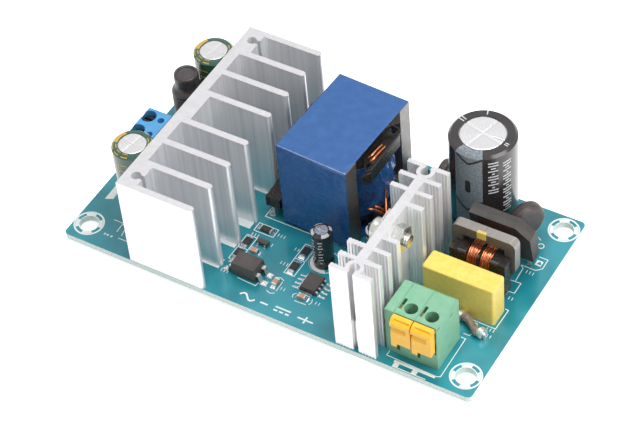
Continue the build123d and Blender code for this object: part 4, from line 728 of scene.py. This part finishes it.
def can_patch(form, can, low, high, start, end, steps=12, skew=0.0):
    """A field of ink on the side of a can, between two heights and two angles in degrees."""
    centre, radius, _ = can

    def shape(u, v, lift):
        turn = math.radians(start + (end - start) * u)
        z = BOARD_TOP + low + (high - low) * v + skew * (u - 0.5)
        return around(centre, radius + lift, turn, z)

    form.patch(shape, steps, 1, 0.025, 0.03)


def curl_patch(form, can, inner, outer, start, end, steps=10):
    """A field of ink on the curled top of a can's sleeve, down over its bevelled rim."""
    centre, radius, height = can

    def shape(u, v, lift):
        turn = math.radians(start + (end - start) * u)
        reach = inner + (outer - inner) * v
        z = BOARD_TOP + height - max(0.0, reach - (radius - CAN_RIM)) + lift * 1.3
        return around(centre, reach + lift * 0.5, turn, z)

    form.patch(shape, steps, 8, 0.03, 0.03)


def can_line(form, can, start, end, width=0.55, proud=0.05, sunk=0.02, steps=8):
    """A line of ink on the side of a can, between two (angle, height) points."""
    centre, radius, _ = can
    path = [tuple(p + (q - p) * i / steps for p, q in zip(start, end)) for i in range(steps + 1)]
    rings = []
    for i, (angle, z) in enumerate(path):
        before = path[max(0, i - 1)]
        after = path[min(len(path) - 1, i + 1)]
        turn = math.radians(angle)
        run = math.radians(after[0] - before[0]) * radius
        rise = after[1] - before[1]
        long = math.hypot(run, rise)
        ring = []
        for side, lift in ((1, -sunk), (-1, -sunk), (-1, proud), (1, proud)):
            bend = turn - side * rise / long * width / 2 / radius
            up = z + side * run / long * width / 2
            ring.append(around(centre, radius + lift, bend, BOARD_TOP + up))
        rings.append(ring)
    form.loft(rings)


def bulk_capacitor_marks():
    """A grey stripe with dark chevrons and a rounded bar down the large can, and short strokes."""
    centre, radius, height = BULK_CAN
    stripe = Form()
    can_patch(stripe, BULK_CAN, 3.2, height - 0.6, -115, -64, 20)
    curl_patch(stripe, BULK_CAN, 5.5, radius, -113, -63.5)
    stripe.piece("bulk_stripe", grey_ink)

    dark = Form()
    for left, tip, right in (
        ((-110.5, 25.7), (-87.6, 23.9), (-63.5, 25.8)),
        ((-115, 11.4), (-90.5, 8.9), (-64, 12.2)),
    ):
        can_line(dark, BULK_CAN, left, tip)
        can_line(dark, BULK_CAN, tip, right)

    bar_low, bar_high, bar_half = 14.75, 18.6, 0.65

    def rounded_bar(u, v, lift):
        """A bar down the can whose two ends are half circles."""
        z = bar_low + (bar_high - bar_low) * v
        over = max(0.0, bar_half - min(z - bar_low, bar_high - z))
        half = math.sqrt(max(0.01, bar_half**2 - over**2))
        turn = math.radians(-89.2) + half * (2 * u - 1) / radius
        # Proud of the stripe, which is itself proud of the can
        reach = radius + (lift + 0.03 if lift > 0 else lift)
        return around(centre, reach, turn, BOARD_TOP + z)

    dark.patch(rounded_bar, 6, 28, 0.025, 0.03)
    dark.piece("bulk_stripe_marks", black_ink)

    pale = Form()
    widths = (2.4, 2.4, 1.2, 2.4, 0.7)
    for column, first, last in ((-46.0, 24.6, 15.0), (-20.0, 23.6, 7.5)):
        z = first
        number = 0
        while z > last:
            half = math.degrees(widths[number % len(widths)] / 2 / radius)
            can_patch(pale, BULK_CAN, z - 0.34, z, column - half, column + half, 6)
            z -= 0.85
            number += 1
    for inner, outer, start in (
        (5.9, 6.9, -12), (5.9, 6.9, -7), (5.9, 7.4, 107), (5.7, 7.2, 157), (5.7, 7.2, 164),
    ):
        curl_patch(pale, BULK_CAN, inner, outer, start, start + 2.5, 3)
    pale.piece("bulk_capacitor_marks", pale_ink_and_highlight)


def output_capacitor_marks():
    """A gold stripe and short gold strokes on each output can."""
    form = Form()
    for can in OUTPUT_CANS:
        _, radius, height = can
        can_patch(form, can, 3.2, height - 0.6, 145, 200)
        curl_patch(form, can, 3.5, radius, 145, 200)
        for angle in (-152, -122, -92, -20, 8, 32):
            for inner in (3.65, 4.45):
                curl_patch(form, can, inner, inner + 0.22, angle, angle + 20, 5)
        for row in range(7):
            z = height - 3.0 - row * 2.0
            can_patch(form, can, z, z + 0.3, -104, -78, 6)
            can_patch(form, can, z - 0.8, z + 0.3, -104, -101, 2)
    form.piece("output_capacitor_marks", gold_ink)


def small_capacitor_marks():
    """Pale arcs round the rims of the small cans, partly print and partly painted highlights on the
    curled sleeves, and rows of short strokes down their sides.
    """
    form = Form()
    for can, inner, arcs in (
        (FRONT_CAN, 1.8, ((-165, -115), (-60, -10), (25, 60), (115, 165))),
        (BACK_CAN, 2.1, ((-175, -95), (-80, 10), (25, 80), (100, 170))),
    ):
        # The pale arcs are partly print on the curled sleeve and partly painted highlights on its
        # glossy curl
        for start, end in arcs:
            curl_patch(form, can, inner, can[1] - 0.05, start, end, 8)
        for column in (-118, -72):
            for row in range(8):
                z = 8.9 - row * 0.95
                wide = (14, 10, 14, 6)[row % 4]
                can_patch(form, can, z - 0.18, z + 0.18, column - wide, column + wide, 4, 0.2)
    form.piece("small_capacitor_marks", pale_ink_and_highlight)


def rod_sleeve():
    """The shrunk sleeve of the rod inductor: it shows the turns under it and curls over the end."""
    form = Form()
    centre = (-44.15, 13.7)
    foot, wound, wire = 4.95, 12.6, 0.9
    steps = 96
    profile = [(3.7, 4.6), (3.9, 4.75)]
    for step in range(steps + 1):
        z = foot + wound * step / steps
        profile.append((3.84 + 0.1 * math.cos(2 * math.pi * (z - foot) / wire), z))
    # Shoulder, neck, curled end, and the inner face back to the foot
    profile += [(3.88, 17.8), (3.62, 18.25), (3.2, 18.7), (2.98, 19.1), (2.95, 20.2), (2.99, 21.3)]
    profile += [(2.97, 22.2), (2.9, 22.6), (2.72, 22.8), (2.45, 22.84), (2.1, 22.76), (2.05, 22.62)]
    profile += [(2.62, 22.61), (2.64, 19.0), (3.58, 17.95), (3.6, 4.6)]
    sides = 56
    rings = []
    for k in range(sides):
        turn = 2 * math.pi * k / sides
        ring = []
        for radius, z in profile:
            spot = Vector((math.cos(turn) * 2, math.sin(turn) * 2, z * 0.5))
            outside = 4.8 < z < 22.4 and radius > 2.9
            soft = 0.03 * noise.noise(spot) if outside else 0.0
            ring.append(around(centre, radius + soft, turn, z))
        rings.append(ring)
    form.loft(rings, closed=True)
    piece = form.piece("rod_sleeve", materials["shrink_black"], smooth=True)
    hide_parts("rod_inductor_sleeve")


def fin_ribs():
    """Fine ridges of the extrusion down both faces of the switch heatsink's fins."""
    form = Form()
    sink_y, end_fin, fin_pitch, half_fin = -10.55, 17.3, 3.95, 0.55
    low, high = BOARD_TOP + 0.01, 29.29
    rib_pitch, rib_count = 0.78, 5
    section = ((-0.2, -0.02), (-0.13, 0.1), (0.0, 0.15), (0.13, 0.1), (0.2, -0.02))
    for side in (-1, 1):
        for step in range(4):
            fin_y = sink_y + side * (end_fin - step * fin_pitch)
            # The fourth fin has only its right half, because the transistor stands on the left
            for first in (20.35, 26.8) if step < 3 else (26.8,):
                for number in range(rib_count):
                    x = first + number * rib_pitch
                    for face in (-1, 1):
                        foot = [(x + a, fin_y + face * (half_fin + b)) for a, b in section]
                        form.slab(foot, low, high)
    form.piece("fin_ribs", materials["extruded_aluminium"])


def vent_discs():
    """Ends of the cans, in four soft fields between two crossed grooves."""
    form = Form()
    discs = [(BULK_CAN, 5.3, -15)] + [(can, 3.32, -10) for can in OUTPUT_CANS]
    for ((x, y), _, height), radius, turn in discs:
        top = BOARD_TOP + height - SLEEVE_CURL
        grooves = [math.radians(turn + q) for q in (0, 90)]

        def shape(u, v, lift):
            angle = 2 * math.pi * u
            across, up = radius * v * math.cos(angle), radius * v * math.sin(angle)
            away = min(abs(across * math.sin(g) - up * math.cos(g)) for g in grooves)
            rise = 0.02 + 0.055 * min(1.0, away / 0.4) + 0.13 * away / radius
            return (x + across, y + up, top + (rise if lift > 0 else -0.05))

        form.patch(shape, 96, 16, 0.02, 0.03)
    form.piece("vent_discs", materials["can_aluminium"], smooth=True)


def terminal_strips():
    """Brass strips that show in the top slots of the input terminal."""
    form = Form()
    half = 0.38
    side = [(-23.22, 13.4), (-23.22, 16.75), (-21.5, 16.75)]
    side += [(-21.5, 16.45), (-22.9, 16.45), (-22.9, 13.4)]
    for middle in (33.82, 38.9):
        form.loft([[(x, y, z) for y, z in side] for x in (middle - half, middle + half)])
    form.piece("terminal_strips", materials["contact_brass"])


def screw_threads():
    """Thread on the tip of the transistor's screw, past its nut."""
    form = Form()
    start, end, y, z = 28.82, 29.76, -10.8, 24.6
    core, crest, pitch, steps = 1.44, 1.56, 0.5, 24
    section = ((-0.16, core), (0.0, crest), (0.16, core), (0.0, core - 0.05))
    rings = []
    for step in range(int((end - start) / pitch * steps) + 1):
        turn = 2 * math.pi * step / steps
        x = start + pitch * step / steps
        out_y, out_z = math.cos(turn), math.sin(turn)
        rings.append([(x + a, y + reach * out_y, z + reach * out_z) for a, reach in section])
    form.loft(rings)
    form.piece("screw_threads", materials["screw_zinc"])


board_print()
power_symbols()
solder_lands()
choke_turns()
core_tape()
bobbin_ledge()
resistor_body()
crumpled_tape()
coil_leads()
bulk_capacitor_marks()
output_capacitor_marks()
small_capacitor_marks()
vent_discs()
rod_sleeve()
fin_ribs()
terminal_strips()
screw_threads()


# ---------------------------------------------------------------- stage, light and camera


def floor():
    """A white table that keeps a soft shadow."""
    s = Surface("floor_white", "F6F6F6", 0.9)
    s.colours(s.noise(400.0), [(0.3, "F4F4F4"), (0.7, "F7F7F7")])
    s.set("Emission Color", (1, 1, 1, 1))
    s.set("Specular IOR Level", 0.0)
    path = s.add("ShaderNodeLightPath")
    seen = s.add("ShaderNodeMath")
    seen.operation = "MAXIMUM"
    s.join(path.outputs["Is Camera Ray"], seen.inputs[0])
    s.join(path.outputs["Is Glossy Ray"], seen.inputs[1])
    glow = s.add("ShaderNodeMath")
    glow.operation = "MULTIPLY"
    glow.inputs[1].default_value = 0.8
    s.join(seen.outputs[0], glow.inputs[0])
    s.join(glow.outputs[0], s.shader.inputs["Emission Strength"])
    data = bpy.data.meshes.new("floor")
    corners = box_outline(-3000, -3000, 3000, 3000)
    data.from_pydata([Vector((x, y, 0)) * MM for x, y in corners], [], [(0, 1, 2, 3)])
    plane = bpy.data.objects.new("floor", data)
    bpy.context.scene.collection.objects.link(plane)
    data.materials.append(s.material)


def sky():
    """White to the camera and to glossy surfaces, and a paler, soft light on the object."""
    world = bpy.data.worlds.new("studio")
    bpy.context.scene.world = world
    world.use_nodes = True
    tree = world.node_tree
    tree.nodes.clear()
    out = tree.nodes.new("ShaderNodeOutputWorld")
    path = tree.nodes.new("ShaderNodeLightPath")
    either = tree.nodes.new("ShaderNodeMath")
    either.operation = "MAXIMUM"
    soft = tree.nodes.new("ShaderNodeBackground")
    plain = tree.nodes.new("ShaderNodeBackground")
    for shade, strength in ((soft, 0.34), (plain, 1.0)):
        shade.inputs["Color"].default_value = (1, 1, 1, 1)
        shade.inputs["Strength"].default_value = strength
    mix = tree.nodes.new("ShaderNodeMixShader")
    tree.links.new(path.outputs["Is Camera Ray"], either.inputs[0])
    tree.links.new(path.outputs["Is Glossy Ray"], either.inputs[1])
    tree.links.new(either.outputs[0], mix.inputs["Fac"])
    tree.links.new(soft.outputs[0], mix.inputs[1])
    tree.links.new(plain.outputs[0], mix.inputs[2])
    tree.links.new(mix.outputs[0], out.inputs["Surface"])


def lamp(name, place, size, watts, target=(0, 0, 10)):
    """A rectangular lamp that faces the middle of the object."""
    data = bpy.data.lights.new(name, "AREA")
    data.shape = "RECTANGLE"
    data.size, data.size_y = size[0] * MM, size[1] * MM
    data.energy = watts
    light = bpy.data.objects.new(name, data)
    light.location = Vector(place) * MM
    aim = Vector(target) - Vector(place)
    light.rotation_euler = aim.to_track_quat("-Z", "Y").to_euler()
    bpy.context.scene.collection.objects.link(light)


def camera():
    """The place, direction and lens that were solved from the board's corners and holes."""
    photo_width, focal_length = 640, 2170.18
    data = bpy.data.cameras.new("camera")
    data.sensor_width = 36.0
    data.lens = focal_length / photo_width * data.sensor_width
    data.clip_start = 0.01
    right = Vector((0.860700, 0.504716, -0.066762))
    up = Vector((-0.330491, 0.653649, 0.680822))
    back = Vector((0.387260, -0.563919, 0.729400))
    turn = Matrix((right, up, back)).transposed().to_4x4()
    view = bpy.data.objects.new("camera", data)
    view.matrix_world = Matrix.Translation(Vector((192.8, -281.3, 372.2)) * MM) @ turn
    bpy.context.scene.collection.objects.link(view)
    bpy.context.scene.camera = view


floor()
sky()
lamp("key", (60, 40, 640), (460, 460), 3.0)
lamp("side", (520, -60, 330), (400, 300), 2.0)
camera()
bpy.context.scene.view_settings.view_transform = "Standard"
